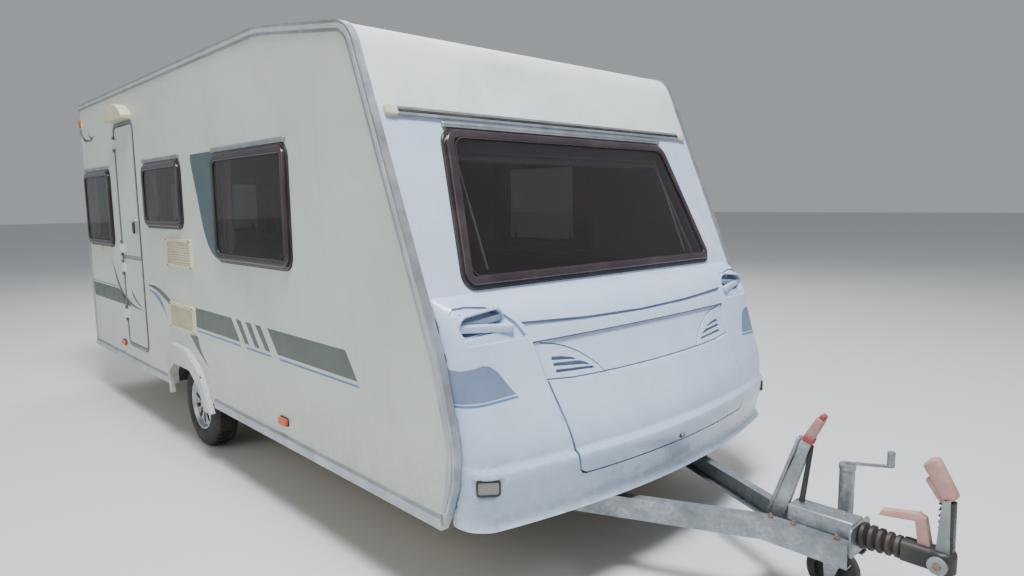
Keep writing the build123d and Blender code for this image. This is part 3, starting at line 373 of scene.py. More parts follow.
# Injection-moulded ABS, cream, yellowed by the sun
CREAM_ABS = Finish("moulded ABS, sun-yellowed cream", "cream_plastic", "#d8d3b8", "#cbc4a2",
                   mottle_mm=80, roughness=0.48, relief_mm=1.2, relief_depth_mm=0.03, dirt_share=0.3,
                   streak_share=0.25, speck_share=0.3)
BLACK_ABS = Finish("moulded ABS, black", "black_plastic", "#1c1d1e", "#26272a", roughness=0.5,
                   relief_mm=1.5, relief_depth_mm=0.04, dirt="#6f6a5c", dirt_share=0.25)
ORANGE_LENS = SeeThrough("moulded acrylic lens, amber", "orange_lens", "#e8641a", "#d9541a",
                         roughness=0.2, clearness=0.35, ior=1.49)
CLEAR_LENS = SeeThrough("moulded acrylic lens, clear", "clear_lens", "#c9cbc4", "#b5b7af",
                        roughness=0.15, clearness=0.6, ior=1.49)
RED_LENS = SeeThrough("moulded acrylic lens, red", "red_lens", "#a51414", "#8c1010",
                      roughness=0.2, clearness=0.3, ior=1.49)
FURNITURE_BOARD = Finish("laminated board, pale pear wood", "plywood", "#b79a72", "#a88a63",
                         mottle_mm=60, roughness=0.5, relief_mm=8, relief_depth_mm=0.05,
                         relief_stretch=(0.1, 0.1, 1.0))
SEAT_CLOTH = Weave("upholstery cloth, blue-grey weave", "seat_fabric", "#5d6479", "#4d546b",
                   mottle_mm=30, roughness=0.85, thread_mm=4.0)
CURTAIN_CLOTH = Weave("curtain cloth, dusty rose", "curtain_fabric", "#c7a79c", "#b8968b",
                      mottle_mm=60, roughness=0.9, thread_mm=3.0)
CAST_ALLOY = Finish("cast aluminium wheel, silver lacquer", "alloy", "#a9adb0", "#989ca0",
                    mottle_mm=50, roughness=0.36, metallic=0.8, coat=0.3, relief_mm=1.5,
                    dirt="#5b5548", dirt_share=0.45)
TYRE_RUBBER = Finish("tyre rubber, dusty", "tyre", "#262625", "#33322f", mottle_mm=60,
                     roughness=0.82, relief_mm=2.0, relief_depth_mm=0.12, dirt="#6b6557", dirt_share=0.45)
NOSE_RUBBER = Finish("solid rubber, worn", "nose_rubber", "#2a2a29", "#3a3936", roughness=0.8,
                     relief_mm=3.0, relief_depth_mm=0.1, dirt="#7a7466", dirt_share=0.5)
BELLOWS_RUBBER = Finish("bellows rubber, brown-black", "black_rubber", "#231f1d", "#322b27",
                        mottle_mm=40, roughness=0.55, relief_mm=2.0, relief_depth_mm=0.1,
                        dirt="#6d6252", dirt_share=0.35)
FADED_GRIP = Finish("moulded grip, red faded to dusty pink", "faded_grip", "#bf948b", "#a97a72",
                    mottle_mm=45, roughness=0.6, relief_mm=1.5, relief_depth_mm=0.06, dirt_share=0.2)
GREY_IRON = Finish("cast lever, grey paint", "coupling_iron", "#8e9696", "#7d8585", mottle_mm=60,
                   roughness=0.42, relief_mm=2.0, relief_depth_mm=0.08, dirt_share=0.2)
BLACK_IRON = Finish("cast iron, black paint", "dark_steel", "#232425", "#2f2f2e", mottle_mm=60,
                    roughness=0.5, relief_mm=2.5, relief_depth_mm=0.12, dirt="#5e4e3e", dirt_share=0.35)
GALVANISED = Spangle("hot-dip galvanised steel", "galvanised_steel", "#b3b9bd", "#989fa4",
                     mottle_mm=180, roughness=0.48, metallic=0.75, relief_mm=6, relief_depth_mm=0.08,
                     dirt="#6e675a", dirt_share=0.3, streak_share=0.3)
# Cast vinyl film, edges a hair above the paint
VINYL_GREEN = Finish("vinyl film, dark grey-green", "side_sheet", "#56605a", "#4e5852", mottle_mm=500,
                     roughness=0.38, unevenness=0.05, relief_mm=200, relief_depth_mm=0.3, dirt_share=0.08)
VINYL_TEAL = Finish("vinyl film, slate green", "side_sheet", "#4d6064", "#475a5e", mottle_mm=500,
                    roughness=0.36, unevenness=0.05, relief_mm=200, relief_depth_mm=0.3, dirt_share=0.06)
VINYL_BLUE = Finish("vinyl film, mid blue", "side_sheet", "#5c83ab", "#537aa2", mottle_mm=300,
                    roughness=0.38, unevenness=0.05, relief_mm=200, relief_depth_mm=0.3)
VINYL_SLATE = Finish("vinyl film, grey-blue", "white_moulding", "#75859f", "#6b7b95", mottle_mm=200,
                     roughness=0.36, unevenness=0.05, relief_mm=200, relief_depth_mm=0.3)

# Frame profile of the entrance door, the same aluminium gone grey
DOOR_ALUMINIUM = Finish("extruded aluminium, dull grey", "trim_aluminium", "#8d9496", "#7b8284",
                        mottle_mm=120, roughness=0.5, metallic=0.6, relief_mm=1.6, relief_depth_mm=0.02,
                        dirt_share=0.3, streak_share=0.3)
# Rubber profiles and seals, matt black-brown, greyed by dust
DARK_RUBBER = Finish("rubber profile, dusty black", "black_rubber", "#1d1b1b", "#2a2726", mottle_mm=90,
                     roughness=0.62, relief_mm=2.0, relief_depth_mm=0.04, dirt="#6c665b", dirt_share=0.25)
# Flexible cover strip pressed into the trims, light grey PVC
TRIM_COVER = Finish("flexible PVC strip, light grey", "white_plastic", "#b9bfbf", "#a8aeae", mottle_mm=150,
                    roughness=0.5, relief_mm=60, relief_depth_mm=0.3, dirt_share=0.3, streak_share=0.3)
# Parts of the blinds and window hardware, seen through the tinted panes
LILAC_PLASTIC = Finish("moulded ABS, pale lilac", "white_plastic", "#b7b2c6", "#a9a4ba", roughness=0.5)
PINK_PLASTIC = Finish("moulded ABS, pale pink", "white_plastic", "#cfb3ae", "#c2a59f", roughness=0.5)
PALE_PLASTIC = Finish("extruded PVC, pale grey", "white_plastic", "#c6c3c2", "#b8b5b4", roughness=0.5)
PIPING_CLOTH = Weave("piping cord, dark blue", "seat_fabric", "#333a52", "#2b3147", mottle_mm=20,
                     roughness=0.85, thread_mm=3.0)
RUSTY_STEEL = Finish("zinc-plated steel, rusting", "galvanised_steel", "#8c8178", "#7a5a42", mottle_mm=9,
                     roughness=0.6, metallic=0.4, relief_mm=1.5, relief_depth_mm=0.1, dirt="#6b4a31",
                     dirt_share=0.5)
FADED_RED = Finish("moulded nylon, red", "faded_grip", "#a33a3a", "#8f3133", mottle_mm=30, roughness=0.55,
                   relief_mm=1.5, relief_depth_mm=0.05, dirt_share=0.25)
PLATE_WHITE = Finish("retro-reflective sheet, white", "white_plastic", "#d9dad6", "#cfd0cb", roughness=0.35,
                     relief_mm=1.2, relief_depth_mm=0.02, dirt_share=0.2)

# First letters of the node names: finish
DRESS: tuple[tuple[str, Finish], ...] = (
    ("side_wall", PAINTED_SHEET), ("rear_wall", PAINTED_SHEET), ("roof_hatches", CREAM_ABS),
    ("roof", ROOF_SHEET), ("front_wall", GEL_COAT), ("front_panel", GEL_COAT),
    ("locker_lid", GEL_COAT), ("grab_handles", GEL_COAT), ("corner_trims", ANODISED),
    ("front_strip", ANODISED), ("sills", ANODISED), ("wheel_arches", MOULDED_WHITE),
    ("wheel_boxes", BLACK_ABS), ("side_window_frames", SMOKED_RIM), ("side_window_panes", SMOKED_PANE),
    ("end_window_frames", SMOKED_RIM), ("end_window_panes", SMOKED_PANE), ("door_frame", DOOR_ALUMINIUM),
    ("door_", PAINTED_SHEET), ("awning_lamp", CREAM_ABS), ("fridge_vents", CREAM_ABS),
    ("marker_lamps", ORANGE_LENS), ("front_lamps", CLEAR_LENS), ("rear_lamps", RED_LENS),
    ("rear_bumper", MOULDED_WHITE), ("floor", FURNITURE_BOARD), ("locker_box", FURNITURE_BOARD),
    ("front_seats", FURNITURE_BOARD), ("kitchen_block", FURNITURE_BOARD),
    ("fridge_cabinet", FURNITURE_BOARD), ("rear_bed", FURNITURE_BOARD), ("cushions", SEAT_CLOTH),
    ("curtains", CURTAIN_CLOTH), ("rim", CAST_ALLOY), ("tyre", TYRE_RUBBER), ("nose_wheel", NOSE_RUBBER),
    ("bellows", BELLOWS_RUBBER), ("coupling_levers", FADED_GRIP), ("coupling_head", BLACK_IRON),
    ("coupling_shaft", BLACK_IRON), ("swing_arms", BLACK_IRON), ("", GALVANISED),
)


def deselect() -> None:
    """Leave edit mode and select nothing."""
    if bpy.context.object and bpy.context.object.mode != "OBJECT":
        bpy.ops.object.mode_set(mode="OBJECT")
    bpy.ops.object.select_all(action="DESELECT")


def take(piece: Piece) -> Piece:
    """Make a piece the only selected and active one."""
    deselect()
    piece.select_set(True)
    bpy.context.view_layer.objects.active = piece
    return piece


def named(name: str) -> Piece:
    """Name the piece that an operator has just added."""
    piece = bpy.context.object
    piece.name = name
    piece.data.name = name
    return piece


def choose(piece: Piece, part: Part, test: Callable[[Any], bool]) -> None:
    """Enter edit mode on a piece with only the elements that pass a test selected.

    Args:
        piece: Mesh object.
        part: Kind of element.
        test: Says whether an element, in edit-mesh form, is selected.
    """
    take(piece)
    bpy.ops.object.mode_set(mode="EDIT")
    bpy.ops.mesh.select_mode(type=part.value)
    mesh = bmesh.from_edit_mesh(piece.data)
    for element in mesh.verts[:] + mesh.edges[:] + mesh.faces[:]:
        element.select_set(False)
    for element in {Part.VERT: mesh.verts, Part.EDGE: mesh.edges, Part.FACE: mesh.faces}[part]:
        if test(element):
            element.select_set(True)
    mesh.select_flush_mode()
    bmesh.update_edit_mesh(piece.data)


def everything(_: Any) -> bool:
    """Test that every element passes."""
    return True


def finish_edit(piece: Piece, normals: bool = False) -> Piece:
    """Leave edit mode, with the normals recalculated outwards where asked.

    Args:
        piece: Mesh object in edit mode.
        normals: Whether to merge doubles and recalculate the normals.

    Returns:
        The same object.
    """
    if normals:
        bpy.ops.mesh.select_all(action="SELECT")
        bpy.ops.mesh.remove_doubles(threshold=0.02 * MM)
        bpy.ops.mesh.normals_make_consistent(inside=False)
    bpy.ops.object.mode_set(mode="OBJECT")
    return piece


def modify(piece: Piece, kind: str, **settings: Any) -> Piece:
    """Add a modifier and apply it.

    Args:
        piece: Mesh object.
        kind: Type name of the modifier.
        **settings: Its properties.

    Returns:
        The same object.
    """
    take(piece)
    added = piece.modifiers.new(kind.title(), kind)
    for name, value in settings.items():
        setattr(added, name, value)
    bpy.ops.object.modifier_apply(modifier=added.name)
    return piece


def fixed(piece: Piece) -> Piece:
    """Put a piece's place into its mesh."""
    take(piece)
    bpy.ops.object.transform_apply(location=True, rotation=True, scale=True)
    return piece


def settle(piece: Piece, finish: Finish, body: str = VAN, angle: float = 35.0) -> Piece:
    """Dress a finished piece, put its place into its mesh and let it ride on a body.

    Args:
        piece: Mesh object.
        finish: Its finish.
        body: Name of the body that carries it.
        angle: Largest angle between faces that shade as one, in degrees.

    Returns:
        The same object.
    """
    fixed(piece)
    bpy.ops.object.shade_smooth_by_angle(angle=math.radians(angle))
    piece.data.materials.clear()
    piece.data.materials.append(finish.build())
    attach(piece, body)
    log.info("piece %s on %s: %d faces", piece.name, body, len(piece.data.polygons))
    return piece


def twin(piece: Piece, name: str) -> Piece:
    """Copy a piece, with a mesh of its own."""
    take(piece)
    bpy.ops.object.duplicate()
    copy = named(name)
    copy.parent = None
    return copy


def mirrored(piece: Piece, name: str) -> Piece:
    """Copy a piece to the other side of the vehicle.

    Args:
        piece: Mesh object with its place in its mesh.
        name: Name of the copy.

    Returns:
        The mirrored copy, with a mesh of its own.
    """
    copy = twin(piece, name)
    copy.scale = (1, -1, 1)
    fixed(copy)
    choose(copy, Part.FACE, everything)
    return finish_edit(copy, normals=True)


@dataclass(frozen=True)
class Film:
    """One piece of vinyl film, drawn flat on a side wall.

    The outline is x and z in metres on the right side, and True where the corner is sharp.
    """

    name: str
    outline: tuple[tuple[float, float, bool], ...]
    finish: Finish
    left_too: bool = True


def slanted(name: str, top: Pair, foot: Pair, z_top: float, z_foot: float,
            finish: Finish) -> Film:
    """Film with level edges and slanted ends.

    Args:
        name: Name of the film.
        top: x of the two ends of its top edge.
        foot: x of the two ends of its bottom edge.
        z_top: Height of the top edge.
        z_foot: Height of the bottom edge.
        finish: Colour of the film.

    Returns:
        The film.
    """
    corners = ((top[0], z_top, True), (top[1], z_top, True), (foot[1], z_foot, True), (foot[0], z_foot, True))
    return Film(name, corners, finish)


def flat_shape(name: str, outline: Iterable[tuple[float, float, bool]], thickness: float) -> Piece:
    """Flat closed shape in the XY plane, as a mesh of the given thickness.

    Args:
        name: Name of the piece.
        outline: Its corners, and whether each is sharp.
        thickness: Thickness in metres, half to each side of the plane.

    Returns:
        The mesh object.
    """
    corners = list(outline)
    deselect()
    bpy.ops.curve.primitive_bezier_circle_add()
    curve = bpy.context.object.data
    curve.dimensions = "2D"
    curve.fill_mode = "BOTH"
    curve.extrude = thickness / 2
    curve.resolution_u = 10
    spline = curve.splines[0]
    spline.bezier_points.add(max(len(corners) - 4, 0))
    for point in spline.bezier_points:
        point.handle_left_type = point.handle_right_type = "AUTO"
    for point, (x, y, sharp) in zip(spline.bezier_points, corners):
        point.co = (x, y, 0)
        point.handle_left_type = point.handle_right_type = "VECTOR" if sharp else "AUTO"
    bpy.ops.object.convert(target="MESH")
    return named(name)


@dataclass
class Livery:
    """Stripes, swooshes and coloured panels of vinyl film on the long sides."""

    thickness: float = 0.5 * MM
    stripe_top: float = 1.004
    stripe_foot: float = 0.875
    line_height: float = 0.011
    rear_leaf_edge: float = -2.246
    front_leaf_edge: float = -1.780
    frame_edges: Pair = (-2.275, -1.751)

    def stripes(self) -> list[Film]:
        """The long stripe with its bars and the thin line below it."""
        films = []
        runs = ((-0.684, -0.099, -0.684, 0.015), (-0.035, 0.034, 0.084, 0.142),
                (0.103, 0.174, 0.219, 0.279), (0.233, 0.304, 0.357, 0.415), (0.389, 1.208, 0.505, 1.305))
        for count, (top_from, top_to, foot_from, foot_to) in enumerate(runs):
            films.append(slanted(f"film_stripe_{count}", (top_from, top_to), (foot_from, foot_to),
                                 self.stripe_top, self.stripe_foot, VINYL_GREEN))
        line_z = 0.858
        for count, (start, end) in enumerate(((-0.680, 0.028), (0.098, 0.432), (0.520, 1.322))):
            films.append(slanted(f"film_line_{count}", (start, end - 0.010), (start + 0.006, end),
                                 line_z, line_z - self.line_height, VINYL_BLUE))
        films.append(slanted("film_rear_stripe", (-3.290, -2.478), (-3.276, -2.135), 0.985, 0.862,
                             VINYL_GREEN))
        films.append(slanted("film_rear_line", (-3.290, -2.505), (-3.290, -2.490), 1.004, 0.996, VINYL_BLUE))
        return films

    def curves(self) -> list[Film]:
        """The drawn swooshes and the panel behind the main window."""
        return [
            Film("film_window_panel", (
                (-0.600, 1.973, False), (-0.560, 1.978, True), (-0.170, 1.978, True), (-0.170, 1.340, True),
                (-0.230, 1.340, False), (-0.330, 1.375, False), (-0.412, 1.455, False),
                (-0.518, 1.704, False), (-0.604, 1.950, False)), VINYL_TEAL),
            Film("film_swoosh_door", (
                (-2.612, 1.240, True), (-2.520, 1.120, False), (-2.380, 0.990, False),
                (-2.130, 0.900, False), (-1.826, 0.858, True), (-2.100, 0.870, False),
                (-2.350, 0.925, False), (-2.520, 1.060, False)), VINYL_GREEN, left_too=False),
            Film("film_swoosh_leaf", (
                (-2.118, 1.020, True), (-2.060, 0.975, False), (-1.950, 0.918, False),
                (-1.820, 0.880, True), (-1.960, 0.902, False), (-2.070, 0.950, False)),
                VINYL_GREEN, left_too=False),
            Film("film_swoosh_dark", (
                (-1.690, 1.072, True), (-1.560, 1.085, False), (-1.375, 1.066, False),
                (-1.170, 1.010, True), (-1.170, 0.965, True), (-1.380, 1.030, False),
                (-1.540, 1.062, False)), VINYL_GREEN),
            Film("film_swoosh_blue", (
                (-1.680, 1.040, True), (-1.540, 1.040, False), (-1.390, 1.000, False),
                (-1.255, 0.875, True), (-1.410, 0.965, False), (-1.550, 1.020, False)), VINYL_BLUE),
            Film("film_spear", (
                (-0.830, 0.815, True), (-0.676, 0.815, True), (-0.640, 0.740, False),
                (-0.515, 0.638, True), (-0.680, 0.715, False)), VINYL_GREEN),
            Film("film_rear_swoosh", (
                (-3.322, 2.370, True), (-3.240, 2.290, False), (-3.100, 2.248, False),
                (-2.860, 2.238, True), (-3.060, 2.226, False), (-3.230, 2.250, False)), VINYL_GREEN),
            Film("film_rear_tick", (
                (-3.060, 2.330, True), (-3.000, 2.272, False), (-2.840, 2.262, True),
                (-3.010, 2.252, False)), VINYL_GREEN),
        ]

    def lay(self, film: Film, name: str) -> Piece:
        """Lay a film on the right side wall."""
        piece = flat_shape(name, film.outline, self.thickness)
        piece.rotation_euler = Euler((math.radians(90), 0, 0))
        piece.location = (0, -HALF_WIDTH - self.thickness / 2, 0)
        return fixed(piece)

    def trim(self, piece: Piece, x: float, keep_front: bool) -> bool:
        """Cut a film along a line across the wall.

        Args:
            piece: The film.
            x: Place of the cut.
            keep_front: Whether the part in front of the cut stays.

        Returns:
            Whether anything is left.
        """
        choose(piece, Part.FACE, everything)
        bpy.ops.mesh.bisect(plane_co=(x, 0, 0), plane_no=(1, 0, 0), use_fill=True,
                            clear_inner=keep_front, clear_outer=not keep_front)
        finish_edit(piece)
        return len(piece.data.polygons) > 0

    def zones(self) -> list[tuple[str, str, float, float]]:
        """Stretches of the right wall: name, body, and x from and to, clear of the door frame."""
        return [("rear", VAN, -9.0, self.frame_edges[0]),
                ("leaf", "door_lower", self.rear_leaf_edge, self.front_leaf_edge),
                ("front", VAN, self.frame_edges[1], 9.0)]

    def build(self) -> None:
        """Lay every film, cut at the door's edges, and repeat it on the left side where it belongs."""
        for film in self.stripes() + self.curves():
            low = min(x for x, _, _ in film.outline)
            high = max(x for x, _, _ in film.outline)
            if film.left_too:
                whole = self.lay(film, film.name)
                settle(mirrored(whole, f"{film.name}_left"), film.finish)
                bpy.data.objects.remove(whole)
            for zone, body, start, end in self.zones():
                if high <= start or low >= end:
                    continue
                piece = self.lay(film, f"{film.name}_{zone}")
                left = (low >= start or self.trim(piece, start, True)) and (
                    high <= end or self.trim(piece, end, False))
                if left:
                    settle(piece, film.finish, body)
                else:
                    bpy.data.objects.remove(piece)


@dataclass(frozen=True)
class Wall:
    """A flat stretch of the body: its middle, the direction across it and the direction up along it.

    Across runs to the right for someone who stands outside and looks at it, so the third axis points out.
    """

    middle: Triple
    across: Triple
    up: Triple

    def place(self, x: float = 0.0, y: float = 0.0, out: float = 0.0) -> Matrix:
        """Matrix from the plane of a point on the wall, in metres across, up and out, to the vehicle."""
        across, up = Vector(self.across), Vector(self.up)
        turned = Matrix((across, up, across.cross(up))).transposed().to_4x4()
        return Matrix.Translation(self.middle) @ turned @ Matrix.Translation((x, y, out))


def side_wall(side: Side, x: float, z: float) -> Wall:
    """Point on the outer face of a long side as a wall."""
    return Wall((x, side.value * HALF_WIDTH, z), (-side.value, 0, 0), (0, 0, 1))


def screen_wall(z: float) -> Wall:
    """Point at height z on the middle of the sloping front wall, as a wall."""
    run, fall = SCREEN_LOW[0] - SCREEN_HIGH[0], SCREEN_HIGH[1] - SCREEN_LOW[1]
    length = math.hypot(run, fall)
    x = SCREEN_HIGH[0] + (SCREEN_HIGH[1] - z) * run / fall
    return Wall((x, 0, z), (0, 1, 0), (-run / length, 0, fall / length))


def nose_lamp_wall(side: Side) -> Wall:
    """Front of a position lamp in the corner of the nose, as a wall."""
    turn = math.radians(38.5)
    ahead = Vector((math.cos(turn), side.value * math.sin(turn), 0))
    middle = Vector((2.052, side.value * 1.040, 0.585)) + ahead * 0.040
    return Wall(tuple(middle), (-side.value * math.sin(turn), math.cos(turn), 0), (0, 0, 1))


@dataclass(frozen=True)
class Opening:
    """A window: its wall, the widths of its top and its foot, and its height along the wall."""

    name: str
    wall: Wall
    top: float
    foot: float
    height: float


REAR_FACE = Wall((-3.335, 0, 1.650), (0, -1, 0), (0, 0, 1))
SIDE_WINDOWS = (("main", 0.246, 1.649, 0.980, 0.637), ("middle", -1.182, 1.738, 0.793, 0.459),
                ("rear", -2.866, 1.649, 0.813, 0.637))
WINDOW_RADIUS = 0.075


def all_windows() -> list[Opening]:
    """The eight windows of the body."""
    found = [Opening(f"{side.word}_{name}", side_wall(side, x, z), width, width, height)
             for side in Side for name, x, z, width, height in SIDE_WINDOWS]
    found.append(Opening("front", screen_wall(1.645), 1.650, 1.880, 0.742))
    found.append(Opening("back", REAR_FACE, 1.150, 1.150, 0.560))
    return found


def put(piece: Piece, place: Matrix) -> Piece:
    """Move a piece that was made at the origin to its place."""
    piece.matrix_world = place
    return piece


def blank(name: str, top: float, foot: float, height: float, radius: float) -> Piece:
    """Flat face with rounded corners in the XY plane, narrower or wider at its top.

    Args:
        name: Name of the piece.
        top: Width of the top edge.
        foot: Width of the bottom edge.
        height: Distance between them.
        radius: Corner radius.

    Returns:
        The mesh object, still to be given a thickness.
    """
    deselect()
    bpy.ops.mesh.primitive_plane_add(size=1)
    face = named(name)
    face.scale = (foot, height, 1)
    bpy.ops.object.transform_apply(scale=True)
    choose(face, Part.VERT, lambda vert: vert.co.y > 0)
    bpy.ops.transform.resize(value=(top / foot, 1, 1), center_override=(0, 0, 0))
    bpy.ops.mesh.select_all(action="SELECT")
    bpy.ops.mesh.bevel(offset=radius, segments=8, affect="VERTICES")
    return finish_edit(face)


def thickened(face: Piece, low: float, high: float) -> Piece:
    """Extrude a flat face from one height to another above its plane.

    Args:
        face: Flat piece in the XY plane.
        low: Height of its back.
        high: Height of its front.

    Returns:
        The closed piece.
    """
    choose(face, Part.FACE, everything)
    bpy.ops.mesh.extrude_region_move(TRANSFORM_OT_translate={"value": (0, 0, high - low)})
    bpy.ops.mesh.select_all(action="SELECT")
    bpy.ops.transform.translate(value=(0, 0, low))
    return finish_edit(face, normals=True)


def plate(name: str, size: Pair, radius: float, low: float, high: float,
          edge: float = 0.0) -> Piece:
    """Rounded plate in the XY plane.

    Args:
        name: Name of the piece.
        size: Width and height.
        radius: Corner radius.
        low: Height of its back above the plane.
        high: Height of its front above the plane.
        edge: Width of the rounding on its front edge.

    Returns:
        The mesh object.
    """
    made = thickened(blank(name, size[0], size[0], size[1], radius), low, high)
    if edge:
        middle = (low + high) / 2
        choose(made, Part.EDGE, lambda one: all(v.co.z > middle for v in one.verts)
               and len(one.link_faces) == 2
               and abs(one.link_faces[0].normal.z - one.link_faces[1].normal.z) > 0.5)
        bpy.ops.mesh.bevel(offset=edge, segments=3, affect="EDGES")
        finish_edit(made)
    return made


def ring(name: str, size: Triple, radius: float, width: float, low: float,
         high: float) -> Piece:
    """Closed band that follows a rounded outline.

    Args:
        name: Name of the piece.
        size: Width of its top, width of its foot, and height.
        radius: Corner radius.
        width: Width of the band, inwards.
        low: Height of its back above the plane.
        high: Height of its front above the plane.

    Returns:
        The mesh object.
    """
    face = blank(name, size[0], size[1], size[2], radius)
    choose(face, Part.FACE, everything)
    bpy.ops.mesh.inset(thickness=width)
    bpy.ops.mesh.delete(type="FACE")
    finish_edit(face)
    return thickened(face, low, high)


def rod(name: str, radius: float, length: float, sides: int = 24, edge: float = 0.0) -> Piece:
    """Round bar that stands on the XY plane, with its top edge rounded.

    Args:
        name: Name of the piece.
        radius: Its radius.
        length: Its height above the plane.
        sides: Number of flat faces round it, six for a hexagon.
        edge: Width of the rounding on its top edge.

    Returns:
        The mesh object.
    """
    deselect()
    bpy.ops.mesh.primitive_cylinder_add(vertices=sides, radius=radius, depth=length,
                                        location=(0, 0, length / 2))
    made = named(name)
    bpy.ops.object.transform_apply(location=True)
    if edge:
        choose(made, Part.FACE, lambda face: face.normal.z > 0.9)
        bpy.ops.mesh.bevel(offset=edge, segments=3, affect="EDGES")
        finish_edit(made)
    return made


def block(name: str, size: Point, place: Point, edge: float = 0.0) -> Piece:
    """Box with rounded edges.

    Args:
        name: Name of the piece.
        size: Its three lengths.
        place: Its middle.
        edge: Width of the rounding.

    Returns:
        The mesh object.
    """
    deselect()
    bpy.ops.mesh.primitive_cube_add(size=1)
    made = named(name)
    made.scale = size
    bpy.ops.object.transform_apply(scale=True)
    made.location = place
    take(made)
    bpy.ops.object.transform_apply(location=True)
    if edge:
        modify(made, "BEVEL", width=edge, segments=3, limit_method="ANGLE")
    return made


def joined(name: str, pieces: Sequence[Piece]) -> Piece:
    """Join pieces into one.

    Args:
        name: Name of the result.
        pieces: Mesh objects.

    Returns:
        The joined piece, its place in its mesh.
    """
    for piece in pieces:
        fixed(piece)
    take(pieces[0])
    for piece in pieces:
        piece.select_set(True)
    bpy.ops.object.join()
    return named(name)


def repeated(name: str, master: Piece, places: Iterable[Matrix]) -> Piece:
    """Copy a piece to several places as one piece, and remove the first.

    Args:
        name: Name of the result.
        master: Piece made at the origin.
        places: One matrix for each copy.

    Returns:
        The joined copies.
    """
    copies = [put(twin(master, f"{name}_{count}"), place) for count, place in enumerate(places)]
    bpy.data.objects.remove(master)
    return joined(name, copies)


def hex_bolt(name: str, flats: float, head: float, stub: float = 0.0) -> Piece:
    """Hexagon bolt head on a washer, with a stub of thread where it is a nut.

    Args:
        name: Name of the piece.
        flats: Width across the flats.
        head: Height of the head.
        stub: How far the thread stands out of it.

    Returns:
        The mesh object, standing on the XY plane.
    """
    washer = rod(f"{name}_washer", flats * 0.62, head * 0.22, 24, head * 0.05)
    hexagon = put(rod(f"{name}_hexagon", flats * 0.577, head * 0.8, 6, head * 0.12),
                  Matrix.Translation((0, 0, head * 0.2)))
    pieces = [washer, hexagon]
    if stub:
        pieces.append(put(rod(f"{name}_thread", flats * 0.31, head + stub, 16, head * 0.1), Matrix()))
    return joined(name, pieces)


def spun(name: str, rows: Sequence[Pair], centre: Point, steps: int) -> Piece:
    """Ring turned about a line along y, from a closed section.

    Args:
        name: Name of the piece.
        rows: Points of the section, as radius and distance along y.
        centre: Middle of the ring.
        steps: Number of steps round it.

    Returns:
        The mesh object.
    """
    deselect()
    bpy.ops.mesh.primitive_circle_add(vertices=len(rows), radius=1, fill_type="NOTHING")
    made = named(name)
    middle = Vector(centre)
    for vert, (radius, across) in zip(made.data.vertices, rows):
        vert.co = middle + Vector((0, across, radius))
    choose(made, Part.EDGE, everything)
    bpy.ops.mesh.spin(steps=steps, angle=math.tau, center=centre, axis=(0, 1, 0))
    return finish_edit(made, normals=True)


def node_copy(node: Piece, name: str) -> Piece:
    """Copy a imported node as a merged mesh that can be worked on.

    Args:
        node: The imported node, which stays as it is.
        name: Name of the copy.

    Returns:
        The copy, free of any parent.
    """
    copy = twin(node, name)
    for key in [key for key in copy.keys() if key.startswith("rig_")]:
        del copy[key]
    choose(copy, Part.VERT, everything)
    bpy.ops.mesh.remove_doubles(threshold=0.02 * MM)
    return finish_edit(copy)


@dataclass
class BodyEdges:
    """Flexible screw covers in the corner trims, and the rubber strip with caps above the front window."""

    nodes: dict[str, Piece]
    trim_face: float = 1.156
    margin: float = 14 * MM
    cover: float = 2.2 * MM
    strip_height: float = 2.043
    strip_length: float = 2.10
    cap: Pair = (62 * MM, 44 * MM)

    def trim_cover(self, side: Side) -> Piece:
        """Raise the middle band of a trim's outer face, taken from a copy of the trims, to a cover strip.

        Args:
            side: Side of the vehicle.

        Returns:
            The cover strip.
        """
        strip = node_copy(self.nodes["corner_trims"], f"trim_cover_{side.word}")
        face_y = side.value * self.trim_face
        choose(strip, Part.FACE, lambda face: abs(face.calc_center_median().y - face_y) > 0.3 * MM
               or abs(face.normal.y) < 0.9)
        bpy.ops.mesh.delete(type="FACE")
        finish_edit(strip)
        choose(strip, Part.FACE, everything)
        bpy.ops.mesh.inset(thickness=self.margin)
        bpy.ops.mesh.select_all(action="INVERT")
        bpy.ops.mesh.delete(type="FACE")
        bpy.ops.mesh.select_all(action="SELECT")
        bpy.ops.mesh.extrude_region_move(TRANSFORM_OT_translate={"value": (0, side.value * self.cover, 0)})
        return finish_edit(strip, normals=True)

    def front_rubber(self) -> Piece:
        """Rubber profile pressed into the strip above the front window."""
        wall = screen_wall(self.strip_height)
        strip = block("front_strip_rubber", (self.strip_length, 13 * MM, 7 * MM), (0, 0, 11 * MM), 2 * MM)
        return put(strip, wall.place())

    def front_caps(self) -> Piece:
        """Moulded end caps of that strip."""
        wall = screen_wall(self.strip_height)
        cap = plate("front_strip_cap", self.cap, 8 * MM, 0, 19 * MM, 4 * MM)
        return repeated("front_strip_caps", cap, [wall.place(end * 1.062) for end in (-1, 1)])

    def build(self) -> None:
        """Make and dress the strips."""
        for side in Side:
            settle(self.trim_cover(side), TRIM_COVER)
        settle(self.front_rubber(), DARK_RUBBER)
        settle(self.front_caps(), CREAM_ABS)


